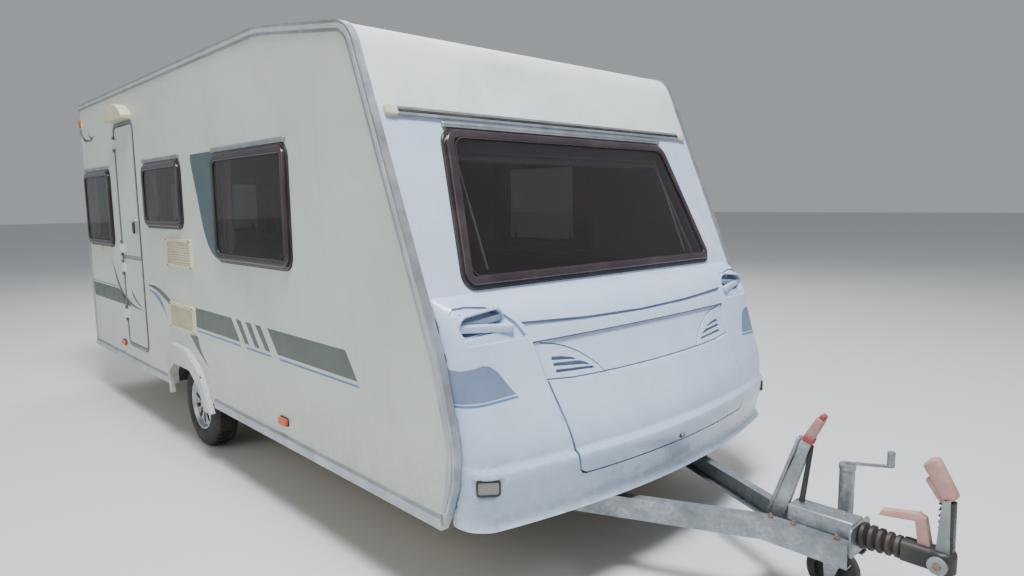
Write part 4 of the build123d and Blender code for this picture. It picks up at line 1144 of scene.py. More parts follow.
@dataclass
class WindowFittings:
    """Rubber seals round the windows, their inside handles, and the blinds of the front window."""

    windows: list[Opening]
    seal_out: float = 3 * MM
    seal_width: float = 7 * MM
    seal_height: float = 6.5 * MM
    inside: float = -26 * MM

    def seal(self, window: Opening) -> Piece:
        """Rubber lip between the window's flange and the wall."""
        size = tuple(length + 2 * self.seal_out for length in (window.top, window.foot, window.height))
        made = ring(f"window_seal_{window.name}", size, WINDOW_RADIUS + self.seal_out, self.seal_width, 0,
                    self.seal_height)
        return put(made, window.wall.place())

    def pane_seal(self, window: Opening) -> Piece:
        """Fine dark line where the clear pane leaves its frame."""
        inset = 50 * MM
        size = tuple(length - 2 * inset for length in (window.top, window.foot, window.height))
        made = ring(f"pane_seal_{window.name}", size, WINDOW_RADIUS - 0.4 * inset, 5 * MM, 19.5 * MM, 22 * MM)
        return put(made, window.wall.place())

    def catches(self, window: Opening) -> Piece:
        """Turning catches at the foot of a window, on its inside."""
        base = plate("catch_base", (34 * MM, 26 * MM), 6 * MM, self.inside, self.inside + 10 * MM, 2 * MM)
        lever = block("catch_lever", (12 * MM, 52 * MM, 9 * MM), (0, 18 * MM, self.inside - 4 * MM), 3 * MM)
        master = joined("catch", [base, lever])
        spread = window.foot / 2 - 0.20
        places = [window.wall.place(end * spread, -window.height / 2 + 62 * MM) for end in (-1, 1)]
        return repeated(f"window_catches_{window.name}", master, places)

    def stays(self, window: Opening) -> Piece:
        """Telescopic stays along the two sides of a window, on its inside."""
        barrel = rod("stay_barrel", 6 * MM, window.height * 0.42, 12, 1 * MM)
        tube = put(rod("stay_tube", 4 * MM, window.height * 0.34, 12), Matrix.Translation(
            (0, 0, window.height * 0.42)))
        master = joined("stay", [barrel, tube])
        upright = Matrix.Rotation(math.radians(-90), 4, "X")
        places = [window.wall.place(end * (min(window.top, window.foot) / 2 - 70 * MM), -window.height * 0.38,
                                    self.inside) @ upright for end in (-1, 1)]
        return repeated(f"window_stays_{window.name}", master, places)

    def blind(self, window: Opening) -> None:
        """Blind cassette across the top, its side guides and the bar across the foot of the front window."""
        high = window.height / 2
        for word, size, place, edge, finish in (
                ("cassette", (window.top - 0.06, 74 * MM, 46 * MM), (0, high - 62 * MM, -52 * MM), 9 * MM,
                 LILAC_PLASTIC),
                ("fold", (window.top - 0.12, 30 * MM, 26 * MM), (0, high - 116 * MM, -50 * MM), 4 * MM,
                 LILAC_PLASTIC),
                ("bar", (window.foot - 0.30, 26 * MM, 22 * MM), (0, -high + 40 * MM, -50 * MM), 7 * MM,
                 PINK_PLASTIC)):
            settle(put(block(f"front_blind_{word}", size, place, edge), window.wall.place()), finish)
        guide = block("blind_guide", (14 * MM, window.height - 0.14, 12 * MM), (0, 0, -50 * MM), 3 * MM)
        lean = math.atan2((window.foot - window.top) / 2, window.height)
        places = [window.wall.place(end * ((window.top + window.foot) / 4 - 66 * MM))
                  @ Matrix.Rotation(end * lean, 4, "Z") for end in (-1, 1)]
        settle(repeated("front_blind_guides", guide, places), PALE_PLASTIC)

    def build(self) -> None:
        """Make and dress the fittings of every window."""
        for window in self.windows:
            settle(self.seal(window), DARK_RUBBER)
            settle(self.pane_seal(window), DARK_RUBBER)
            settle(self.catches(window), BLACK_ABS)
            settle(self.stays(window), PALE_PLASTIC)
            if window.name == "front":
                self.blind(window)


@dataclass
class Curtains:
    """Curtains drawn to both sides of the long sides' windows and of the rear window, in soft pleats."""

    windows: list[Opening]
    width: float = 0.186
    depth: float = 9.5 * MM
    pleats: float = 5.0
    wall: float = 30 * MM
    room: float = 13 * MM
    cloth: float = 0.8 * MM
    edge_gap: float = 66 * MM
    rear_gap: float = 60 * MM
    extra_length: float = 56 * MM

    def curve(self, across: float, down: float, seed: float) -> float:
        """How far a point of the cloth stands out of its plane.

        Args:
            across: Place across the curtain, from 0 to 1.
            down: Place from its head, 0, to its hem, 1.
            seed: Number that makes one curtain differ from the next.

        Returns:
            Distance in metres.
        """
        phase = math.tau * self.pleats * (across + 0.025 * math.sin(4 * down + seed))
        spread = 0.55 + 0.45 * min(down * 4, 1)
        return self.depth * spread * math.sin(phase) + 1.5 * MM * math.sin(9 * across + 5 * down + seed)

    def curtain(self, name: str, height: float, place: Matrix, seed: float) -> None:
        """Make one curtain and let it stand for its solid.

        Args:
            name: Name of the piece.
            height: Its length from head to hem.
            place: Matrix of its middle.
            seed: Number that makes it differ from the next.
        """
        deselect()
        bpy.ops.mesh.primitive_grid_add(x_subdivisions=96, y_subdivisions=16, size=1)
        piece = named(name)
        for vert in piece.data.vertices:
            across, down = vert.co.x + 0.5, 0.5 - vert.co.y
            vert.co = (vert.co.x * self.width, vert.co.y * height, self.curve(across, down, seed))
        modify(piece, "SOLIDIFY", thickness=self.cloth, offset=0)
        settle(put(piece, place), CURTAIN_CLOTH, angle=70)
        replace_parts(piece, "curtains")

    def build(self) -> None:
        """Hang every curtain."""
        for count, window in enumerate(self.windows):
            if window.name == "front":
                continue
            gap = self.rear_gap if window.name == "back" else self.edge_gap
            for end, word in ((-1, "a"), (1, "b")):
                place = window.wall.place(end * (window.top / 2 - gap), 10 * MM, -self.wall - self.room)
                self.curtain(f"curtain_{window.name}_{word}", window.height + self.extra_length, place,
                             1.7 * count + end)


@dataclass(frozen=True)
class Pad:
    """One cushion: its name, its box at rest and how full it is, from 0 to 1."""

    name: str
    low: Triple
    high: Triple
    fill: float


@dataclass
class Cushions:
    """Seat, back and bed cushions, each a stuffed cover with piped edges."""

    voxel: float = 22 * MM
    pressure: float = 4.0
    frames: int = 14
    most: float = 9 * MM
    shrink: float = 9 * MM
    piping: float = 5 * MM

    def pads(self) -> list[Pad]:
        """The five cushions, in the space that their solids hold."""
        low, high = (Vector(corner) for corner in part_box("cushions"))
        seat_top, seat_foot, inner = 0.865, 0.745, high.y
        found = []
        for side in Side:
            word = side.word
            ys = sorted((side.value * inner, side.value * (inner - 0.620)))
            found.append(Pad(f"seat_cushion_{word}", (-0.340, ys[0], seat_foot), (1.540, ys[1], seat_top),
                             0.8))
            ys = sorted((side.value * inner, side.value * (inner - 0.100)))
            found.append(Pad(f"back_cushion_{word}", (-0.330, ys[0], seat_top + 4 * MM),
                             (1.530, ys[1], high.z), 0.75))
        found.append(Pad("mattress", (low.x, low.y, 0.775), (low.x + 0.720, high.y, 0.905), 0.85))
        return found

    def swell(self, piece: Piece) -> None:
        """Blow up a cover from within by a cloth simulation, no point moving further than the cap.

        Args:
            piece: Closed mesh, a little smaller than the finished cushion.
        """
        rest = [vert.co.copy() for vert in piece.data.vertices]
        take(piece)
        cloth = piece.modifiers.new("Cover", "CLOTH")
        cloth.settings.use_pressure = True
        cloth.settings.uniform_pressure_force = self.pressure
        cloth.settings.quality = 4
        cloth.settings.effector_weights.gravity = 0
        scene = bpy.context.scene
        for frame in range(1, self.frames + 1):
            scene.frame_set(frame)
        bpy.ops.object.modifier_apply(modifier=cloth.name)
        scene.frame_set(1)
        for vert, start in zip(piece.data.vertices, rest):
            move = vert.co - start
            if move.length > self.most:
                vert.co = start + move * (self.most / move.length)

    def make(self, pad: Pad) -> None:
        """Make, pipe and dress one cushion.

        Args:
            pad: The cushion.
        """
        low, high = Vector(pad.low), Vector(pad.high)
        size = high - low - Vector((2, 2, 2)) * self.shrink
        middle = (low + high) / 2
        piece = block(pad.name, size, middle, min(size) * 0.22)
        modify(piece, "REMESH", mode="VOXEL", voxel_size=self.voxel)
        self.swell(piece)
        modify(piece, "SUBSURF", levels=1, render_levels=1)
        piping = self.cord_edges(pad, middle, size)
        settle(piece, SEAT_CLOTH, angle=60)
        settle(piping, PIPING_CLOTH, angle=60)
        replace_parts(piece, "cushions")

    def cord_edges(self, pad: Pad, middle: Vector, size: Vector) -> Piece:
        """Piping round the two broad faces of a cushion.

        Args:
            pad: The cushion.
            middle: Its middle.
            size: Its size before it swelled.

        Returns:
            Both lines of piping as one piece.
        """
        thin = min(range(3), key=lambda axis: size[axis])
        wide = [axis for axis in range(3) if axis != thin]
        inset = min(size) * 0.10
        lines = []
        for end in (-1, 1):
            outline = ring(f"{pad.name}_line_{end}", (size[wide[0]] - inset, size[wide[0]] - inset,
                                                      size[wide[1]] - inset), 40 * MM, self.piping,
                           -self.piping / 2, self.piping / 2)
            modify(outline, "BEVEL", width=self.piping * 0.3, segments=2, limit_method="ANGLE")
            axes = [Vector((0, 0, 0)) for _ in range(3)]
            axes[0][wide[0]] = 1
            axes[1][wide[1]] = 1
            axes[2] = axes[0].cross(axes[1])
            turned = Matrix(axes).transposed().to_4x4()
            place = middle.copy()
            place[thin] += end * (size[thin] / 2 - inset * 0.3)
            lines.append(put(outline, Matrix.Translation(place) @ turned))
        return joined(f"{pad.name}_piping", lines)

    def build(self) -> None:
        """Make every cushion."""
        for pad in self.pads():
            self.make(pad)


def on_side(side: Side, outline: Iterable[Pair]) -> list[Pair]:
    """Outline in y and z, drawn on the left side, as it lies on a side."""
    return [(side.value * y, z) for y, z in outline]


def outline_prism(name: str, outline: Sequence[Pair], across: Pair,
                  from_side: bool = False) -> Piece:
    """Closed shape drawn on the front or on a side, driven through the vehicle.

    Args:
        name: Name of the piece.
        outline: Its corners, as y and z for the front, or x and z for a side.
        across: Where it starts and ends, along x for the front or along y for a side.
        from_side: Whether it is drawn on a side.

    Returns:
        The closed piece.
    """
    piece = flat_shape(name, [(a, b, True) for a, b in outline], abs(across[1] - across[0]))
    middle = (across[0] + across[1]) / 2
    if from_side:
        turned = Matrix(((1, 0, 0), (0, 0, -1), (0, 1, 0))).to_4x4()
        put(piece, Matrix.Translation((0, middle, 0)) @ turned)
    else:
        turned = Matrix(((0, 0, 1), (1, 0, 0), (0, 1, 0))).to_4x4()
        put(piece, Matrix.Translation((middle, 0, 0)) @ turned)
    fixed(piece)
    choose(piece, Part.FACE, everything)
    return finish_edit(piece, normals=True)


def boolean(piece: Piece, cutter: Piece, operation: str) -> Piece:
    """Cut a piece with another one, which stays."""
    return modify(piece, "BOOLEAN", operation=operation, object=cutter, solver="EXACT")


def sunk(pieces: list[Piece], cutter: Piece, depth: float, word: str = "field") -> list[Piece]:
    """Move what lies inside a cutter back along x, and leave the rest.

    Args:
        pieces: Closed pieces of one moulding.
        cutter: Closed shape of the sunk field, removed at the end.
        depth: How far the field moves back.
        word: Word added to the name of what moves.

    Returns:
        The pieces, with the field as pieces of its own.
    """
    result = []
    for piece in pieces:
        inside = boolean(twin(piece, f"{piece.name}_{word}"), cutter, "INTERSECT")
        outside = boolean(piece, cutter, "DIFFERENCE")
        for part, moves in ((inside, True), (outside, False)):
            if not part.data.polygons:
                bpy.data.objects.remove(part)
                continue
            if moves:
                choose(part, Part.VERT, everything)
                bpy.ops.transform.translate(value=(-depth, 0, 0))
                finish_edit(part)
            result.append(part)
    bpy.data.objects.remove(cutter)
    return result


@dataclass
class FrontWall:
    """The sloping front wall, with an opening that follows the window's slanted ends."""

    nodes: dict[str, Piece]
    window: Opening
    lap: float = 22 * MM
    reach: float = 0.1

    def build(self) -> None:
        """Cut the opening in a copy of the wall."""
        wall = node_copy(self.nodes["front_wall"], "front_wall_cut")
        lap = 2 * self.lap
        cutter = fixed(put(thickened(blank("front_opening", self.window.top - lap, self.window.foot - lap,
                                           self.window.height - lap, WINDOW_RADIUS - self.lap),
                                     -self.reach, self.reach), self.window.wall.place()))
        boolean(wall, cutter, "DIFFERENCE")
        bpy.data.objects.remove(cutter)
        settle(wall, GEL_COAT)
        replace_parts(wall, "front_wall")


@dataclass
class WindowUnits:
    """Thermoformed window units: a flat flange and a raised bead round each pane."""

    windows: list[Opening]
    flange: Pair = (34 * MM, 8 * MM)
    bead: Triple = (15 * MM, 38 * MM, 24 * MM)
    pane: Triple = (44 * MM, 12 * MM, 17 * MM)
    rail: Pair = (13 * MM, 26 * MM)

    def unit(self, window: Opening) -> Piece:
        """Frame of one window."""
        size = (window.top, window.foot, window.height)
        flat = ring(f"{window.name}_flange", size, WINDOW_RADIUS, self.flange[0], 0, self.flange[1])
        modify(flat, "BEVEL", width=2.5 * MM, segments=3, limit_method="ANGLE")
        inset, width, top = self.bead
        smaller = tuple(length - 2 * inset for length in size)
        raised = ring(f"{window.name}_bead", smaller, WINDOW_RADIUS - inset * 0.8, width, 0, top)
        modify(raised, "BEVEL", width=7 * MM, segments=5, limit_method="ANGLE")
        return put(joined(f"window_unit_{window.name}", [flat, raised]), window.wall.place())

    def end_pane(self, window: Opening) -> Piece:
        """Pane of the front or the rear window, cut to its slanted ends."""
        inset, low, high = self.pane
        face = blank(f"window_pane_{window.name}", window.top - 2 * inset, window.foot - 2 * inset,
                     window.height - 2 * inset, WINDOW_RADIUS - 17 * MM)
        return put(thickened(face, low, high), window.wall.place())

    def hinge_rail(self, window: Opening) -> Piece:
        """Aluminium rail that carries the window, with a narrow lip along it in the same finish."""
        rail = block(f"window_rail_{window.name}", (window.top - 30 * MM, self.rail[1], self.rail[0]),
                     (0, window.height / 2 + 13 * MM, self.rail[0] / 2), 3 * MM)
        groove = block(f"{window.name}_rail_lip", (window.top - 30 * MM, 5 * MM, self.rail[0] + 2 * MM),
                       (0, window.height / 2 + 15 * MM, self.rail[0] / 2 + 1 * MM), 1 * MM)
        return put(joined(f"window_rail_{window.name}", [rail, groove]), window.wall.place())

    def build(self) -> None:
        """Make every window unit."""
        for window in self.windows:
            end = window.name in ("front", "back")
            unit = settle(self.unit(window), SMOKED_RIM)
            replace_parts(unit, "end_window_frames" if end else "side_window_frames")
            settle(self.hinge_rail(window), ANODISED)
            if end:
                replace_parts(settle(self.end_pane(window), SMOKED_PANE), "end_window_panes")


@dataclass
class Nose:
    """Moulded nose and its locker lid: sunk field, louvres, groove, lamp recesses, lip, lock and decals."""

    nodes: dict[str, Piece]
    reach: Pair = (1.85, 2.40)
    crease: Outline = ((-0.800, 0.940), (-0.560, 0.919), (-0.300, 0.912), (0.0, 0.910), (0.300, 0.912),
                       (0.560, 0.919), (0.800, 0.940))
    arc: Outline = ((0.700, 1.080), (0.620, 1.066), (0.554, 1.046), (0.491, 1.016), (0.441, 0.983),
                    (0.400, 0.951), (0.363, 0.905))
    louvres: tuple[Outline, ...] = (
        ((0.659, 1.004), (0.518, 0.991), (0.540, 1.002), (0.599, 1.015), (0.655, 1.020)),
        ((0.656, 0.980), (0.448, 0.959), (0.471, 0.973), (0.504, 0.984), (0.652, 0.995)),
        ((0.651, 0.953), (0.428, 0.940), (0.434, 0.953), (0.650, 0.967)))
    seam: float = 7 * MM
    seam_gap: float = 1.3 * MM
    lock_place: Triple = (2.2405, 0.0, 0.583)
    lip: float = 22 * MM
    lip_cuts: tuple[float, ...] = (0.452, 0.430, 0.414)
    lip_steps: Outline = ((0.4405, 0.25), (0.4205, 0.35), (0.4095, 0.40))
    field_depth: float = 10 * MM
    panel_depth: float = 4 * MM
    seam_depth: float = 5 * MM
    louvre_depth: float = 13 * MM
    groove_depth: float = 9 * MM
    grab_depth: float = 14 * MM
    lamp_recess: tuple[Any, ...] = ((180 * MM, 64 * MM), 28 * MM, -14 * MM, 0.12)
    grab_outline: Outline = (
        (1.058, 1.112), (0.770, 1.112), (0.764, 1.124), (0.800, 1.180), (0.850, 1.222), (0.920, 1.248),
        (1.000, 1.256), (1.062, 1.254), (1.082, 1.236))
    grab_bar: Triple = (28 * MM, 0.272, 34 * MM)
    grab_bar_edge: float = 9 * MM
    grab_bar_place: Triple = (1.938, 0.950, 1.168)
    grab_bar_turns: Pair = (14.0, 4.0)
    band: Outline = (
        (1.160, 1.036), (1.093, 1.024), (1.050, 1.030), (1.012, 1.037), (0.978, 1.030), (0.948, 1.006),
        (0.886, 0.912), (1.160, 0.898))
    line: Outline = ((1.160, 0.893), (0.882, 0.906), (0.876, 0.898), (1.160, 0.884))
    film: float = 0.6 * MM

    def field(self) -> Piece:
        """Cutter over the lid's sunk upper field."""
        outline = [(-0.800, 1.200), *self.crease, (0.800, 1.200)]
        return outline_prism("lid_field", outline, self.reach)

    def panel(self) -> Piece:
        """Cutter over the middle of that field, between two arcs beside the louvres."""
        outline = [(-0.700, 1.200), *((-y, z) for y, z in self.arc), *reversed(self.arc), (0.700, 1.200)]
        return outline_prism("lid_panel", outline, self.reach)

    def seams(self) -> list[Piece]:
        """Cutters for the narrow grooves along the crease and the two arcs."""
        lower = [(y, z + self.seam_gap) for y, z in self.crease]
        upper = [(y, z + self.seam_gap + self.seam) for y, z in reversed(self.crease)]
        found = [outline_prism("crease_seam", [*lower, *upper], self.reach)]
        for side in Side:
            outer = [(y + self.seam_gap, z - self.seam_gap) for y, z in self.arc]
            inner = [(y - self.seam * 0.5, z + self.seam * 0.5) for y, z in reversed(self.arc)]
            found.append(outline_prism("arc_seam", on_side(side, outer + inner), self.reach))
        return found

    def lid(self) -> tuple[Piece, Piece]:
        """Locker lid with its sunk field and middle panel, and the floors of its louvres and seams."""
        pieces = sunk([node_copy(self.nodes["locker_lid"], "lid")], self.field(), self.field_depth)
        pieces = sunk(pieces, self.panel(), self.panel_depth)
        for seam in self.seams():
            pieces = sunk(pieces, seam, self.seam_depth, "floor")
        for side in Side:
            for louvre in self.louvres:
                cutter = outline_prism("louvre", on_side(side, louvre), self.reach)
                pieces = sunk(pieces, cutter, self.louvre_depth, "floor")
        return self.parted("locker_lid_moulding", pieces)

    def parted(self, name: str, pieces: list[Piece]) -> tuple[Piece, Piece]:
        """Join the pieces of a moulding, and apart from them the floors of its grooves."""
        floors = [piece for piece in pieces if "floor" in piece.name]
        rest = [piece for piece in pieces if piece not in floors]
        return joined(name, rest), joined(f"{name}_grooves", floors)

    def groove(self) -> Piece:
        """Cutter for the groove above the lid, thin in the middle."""
        upper = [(-0.775, 1.176), (-0.390, 1.157), (0.0, 1.150), (0.390, 1.157), (0.775, 1.176)]
        lower = [(0.755, 1.154), (0.390, 1.142), (0.0, 1.137), (-0.390, 1.142), (-0.755, 1.154)]
        return outline_prism("nose_groove", upper + lower, self.reach)

    def moulding(self) -> tuple[Piece, Piece]:
        """Nose with its lamp recesses, flared lip and grab fields, and apart from it the groove's floor."""
        nose = node_copy(self.nodes["front_panel"], "nose")
        for side in Side:
            size, radius, low, high = self.lamp_recess
            cutter = fixed(put(plate("lamp_recess", size, radius, low, high), nose_lamp_wall(side).place()))
            boolean(nose, cutter, "DIFFERENCE")
            bpy.data.objects.remove(cutter)
        for height in self.lip_cuts:
            choose(nose, Part.FACE, everything)
            bpy.ops.mesh.bisect(plane_co=(0, 0, height), plane_no=(0, 0, 1))
            finish_edit(nose)
        for height, share in self.lip_steps:
            choose(nose, Part.VERT, lambda vert: vert.co.z < height)
            bpy.ops.transform.translate(value=(self.lip * share, 0, 0))
            finish_edit(nose)
        pieces = sunk([nose], self.groove(), self.groove_depth, "floor")
        for side in Side:
            pieces = sunk(pieces, self.grab(side), self.grab_depth)
        return self.parted("nose_moulding", pieces)

    def grab(self, side: Side) -> Piece:
        """Cutter for the blunt, pointed field round a grab handle."""
        return outline_prism("grab_field", on_side(side, self.grab_outline), (1.80, 2.40))

    def grab_bars(self) -> None:
        """Level hand bar across each grab recess."""
        for side in Side:
            bar = block(f"grab_bar_{side.word}", self.grab_bar, (0, 0, 0), self.grab_bar_edge)
            yaw, droop = (math.radians(side.value * turn) for turn in self.grab_bar_turns)
            x, y, z = self.grab_bar_place
            place = Matrix.Translation((x, side.value * y, z)) @ Matrix.Rotation(yaw, 4, "Z")
            settle(put(bar, place @ Matrix.Rotation(droop, 4, "X")), GEL_COAT)

    def decal(self, name: str, panel: Piece, outline: Sequence[Pair],
              finish: Finish) -> None:
        """Film on the nose, cut out of a copy of its skin.

        Args:
            name: Name of the film.
            panel: Finished nose moulding.
            outline: Its corners, as y and z.
            finish: Colour of the film.
        """
        cutter = outline_prism(f"{name}_outline", outline, (1.86, 2.40))
        film = boolean(twin(panel, name), cutter, "INTERSECT")
        bpy.data.objects.remove(cutter)
        side = math.copysign(1, outline[0][0])
        choose(film, Part.FACE, lambda face: face.normal.x * 0.5 + face.normal.y * side * 0.87 < 0.3
               or abs(face.normal.z) > 0.8)
        bpy.ops.mesh.delete(type="FACE")
        finish_edit(film)
        modify(film, "SOLIDIFY", thickness=self.film, offset=1)
        self.evened(settle(film, finish, angle=60))

    def lock(self) -> None:
        """Lock of the lid: a square escutcheon with a barrel and its keyhole."""
        wall = Wall(self.lock_place, (0, 1, 0), (0, 0, 1))
        settle(put(plate("lid_lock_plate", (38 * MM, 38 * MM), 5 * MM, -6 * MM, 2.5 * MM, 1 * MM),
                   wall.place()), BLACK_ABS, "locker_lid")
        settle(put(rod("lid_lock_barrel", 11 * MM, 5 * MM, 32, 1 * MM), wall.place()), ANODISED, "locker_lid")
        settle(put(block("lid_keyhole", (2 * MM, 9 * MM, 6 * MM), (0, 0, 3 * MM)), wall.place()),
               BLACK_ABS, "locker_lid")

    def lamps(self) -> None:
        """Dark frames round the position lamps."""
        for side in Side:
            frame = ring(f"nose_lamp_frame_{side.word}", (94 * MM, 94 * MM, 62 * MM), 14 * MM, 7 * MM,
                         -15 * MM, 1.5 * MM)
            settle(put(frame, nose_lamp_wall(side).place()), BLACK_ABS)

    def evened(self, piece: Piece) -> Piece:
        """Let the large faces of a cut moulding lead its shading."""
        return modify(piece, "WEIGHTED_NORMAL", keep_sharp=True, weight=50)

    def build(self) -> None:
        """Make the nose."""
        panel, groove = self.moulding()
        for side in Side:
            for word, outline, finish in (("film", self.band, VINYL_SLATE), ("line", self.line, VINYL_BLUE)):
                self.decal(f"nose_{word}_{side.word}", panel, on_side(side, outline), finish)
        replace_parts(self.evened(settle(panel, GEL_COAT)), "front_panel")
        # the floor of the groove takes the dark gel coat that is painted shade
        settle(groove, PAINTED_SHADE_GEL)
        lid, floors = self.lid()
        # the floors of the lid's louvres and seams take the same painted shade
        settle(floors, PAINTED_SHADE_GEL, "locker_lid")
        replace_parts(self.evened(settle(lid, GEL_COAT, "locker_lid")), "locker_lid")
        self.lock()
        self.lamps()
        self.grab_bars()


@dataclass
class EntranceDoor:
    """Gaskets round the door leaves, the handle with its lock, and the strip between the leaves."""

    rear_x: float = -2.262
    front_x: float = -1.764
    foot: float = 0.553
    head: float = 2.287
    split: float = 1.253

    def wall(self) -> Wall:
        """Middle of the door on the right wall."""
        return side_wall(Side.RIGHT, (self.rear_x + self.front_x) / 2, (self.foot + self.head) / 2)

    def gasket(self) -> Piece:
        """Rubber in the gap between the frame and the leaves."""
        size = (self.front_x - self.rear_x - 20.5 * MM, self.front_x - self.rear_x - 20.5 * MM,
                self.head - self.foot - 20.5 * MM)
        return put(ring("door_gasket", size, 50 * MM, 2.2 * MM, -16 * MM, -4 * MM), self.wall().place())

    def frame_edge(self) -> Piece:
        """Dark sealing line between the frame and the wall."""
        size = (self.front_x - self.rear_x + 31 * MM, self.front_x - self.rear_x + 31 * MM,
                self.head - self.foot + 31 * MM)
        return put(ring("door_frame_seal", size, 73 * MM, 6 * MM, 0, 3 * MM), self.wall().place())

    def handle(self) -> None:
        """Handle plate, grip and key barrel on the upper leaf."""
        wall = side_wall(Side.RIGHT, -1.835, 1.510)
        settle(put(plate("handle_plate", (56 * MM, 122 * MM), 22 * MM, 0, 17.5 * MM, 4 * MM), wall.place()),
               ANODISED, "door_upper")
        settle(put(plate("handle_grip", (28 * MM, 88 * MM), 12 * MM, 15 * MM, 31 * MM, 5 * MM),
                   wall.place(0, -10 * MM)), BLACK_ABS, "door_upper")
        settle(put(rod("handle_barrel", 8 * MM, 20 * MM, 24, 1 * MM), wall.place(0, 47 * MM)), ANODISED,
               "door_upper")
        settle(put(block("handle_keyhole", (1.6 * MM, 7 * MM, 2 * MM), (0, 0, 20 * MM)),
                   wall.place(0, 47 * MM)), BLACK_ABS, "door_upper")

    def strip(self) -> Piece:
        """Rain strip along the foot of the upper leaf."""
        wall = side_wall(Side.RIGHT, (self.rear_x + self.front_x) / 2, self.split + 16 * MM)
        return put(block("leaf_strip", (0.450, 20 * MM, 4 * MM), (0, 0, 2 * MM), 1.5 * MM), wall.place())

    def build(self) -> None:
        """Make and dress the door's fittings."""
        settle(self.gasket(), DARK_RUBBER)
        settle(self.frame_edge(), DARK_RUBBER)
        settle(self.strip(), ANODISED, "door_upper")
        self.handle()


@dataclass
class WallFittings:
    """Vent slats, round socket, lamp bases, rear top markers and arch screws."""

    arch_screws: Outline = ((-0.605, 0.560), (-1.246, 0.560))
    vents: tuple[tuple[float, float, float, float, int], ...] = (
        (-0.910, 1.348, 0.470, 0.195, 9), (-0.932, 0.911, 0.466, 0.183, 12))

    def slats(self, count: int) -> Piece:
        """Slanted slats of one refrigerator vent."""
        x, z, width, height, rows = self.vents[count]
        pitch = (height - 46 * MM) / rows
        slat = block("slat", (width - 54 * MM, pitch * 0.74, 2.6 * MM), (0, 0, 0), 0.8 * MM)
        wall = side_wall(Side.RIGHT, x, z)
        tilt = Matrix.Rotation(math.radians(-28), 4, "X")
        places = [wall.place(0, (row + 0.5) * pitch - (height - 46 * MM) / 2, 9.5 * MM) @ tilt
                  for row in range(rows)]
        return repeated(f"vent_slats_{count}", slat, places)

    def screws(self, count: int) -> Piece:
        """Turning catches in the corners of a vent."""
        x, z, width, height, _ = self.vents[count]
        wall = side_wall(Side.RIGHT, x, z)
        places = [wall.place(a * (width / 2 - 13 * MM), b * (height / 2 - 12 * MM), 13.5 * MM)
                  for a in (-1, 1) for b in (-1, 1)]
        return repeated(f"vent_screws_{count}", rod("screw", 6 * MM, 3 * MM, 16, 1 * MM), places)

    def socket(self) -> None:
        """Round covered socket behind the rear window."""
        wall = side_wall(Side.RIGHT, -2.900, 1.290)
        base = plate("socket_base", (84 * MM, 84 * MM), 38 * MM, 0, 8 * MM, 3 * MM)
        lid = put(rod("socket_lid", 29 * MM, 14 * MM, 32, 3 * MM), Matrix())
        settle(put(joined("wall_socket", [base, lid]), wall.place()), CREAM_ABS)

    def markers(self, side: Side) -> None:
        """Bases of the side markers, and the marker at the rear top corner."""
        word = side.word
        base = plate("marker_base", (104 * MM, 48 * MM), 17 * MM, 0, 6 * MM, 1.5 * MM)
        places = [side_wall(side, x, z).place() for x, z in ((0.548, 0.523), (-2.403, 0.538))]
        settle(repeated(f"marker_bases_{word}", base, places), BLACK_ABS)
        wall = side_wall(side, -3.262, 2.395)
        settle(put(plate(f"top_marker_base_{word}", (52 * MM, 86 * MM), 14 * MM, 0, 8 * MM, 2 * MM),
                   wall.place()), CREAM_ABS)
        settle(put(plate(f"top_marker_lens_{word}", (40 * MM, 72 * MM), 12 * MM, 7 * MM, 19 * MM, 4 * MM),
                   wall.place()), ORANGE_LENS)

    def build(self) -> None:
        """Make and dress the fittings."""
        for count in range(len(self.vents)):
            settle(self.slats(count), CREAM_ABS)
            settle(self.screws(count), BLACK_ABS)
        self.socket()
        for side in Side:
            self.markers(side)
            places = [side_wall(side, x, z).place(0, 0, 26 * MM) for x, z in self.arch_screws]
            settle(repeated(f"arch_screws_{side.word}", rod("arch_screw", 8 * MM, 5 * MM, 20, 2 * MM),
                            places), BLACK_ABS)


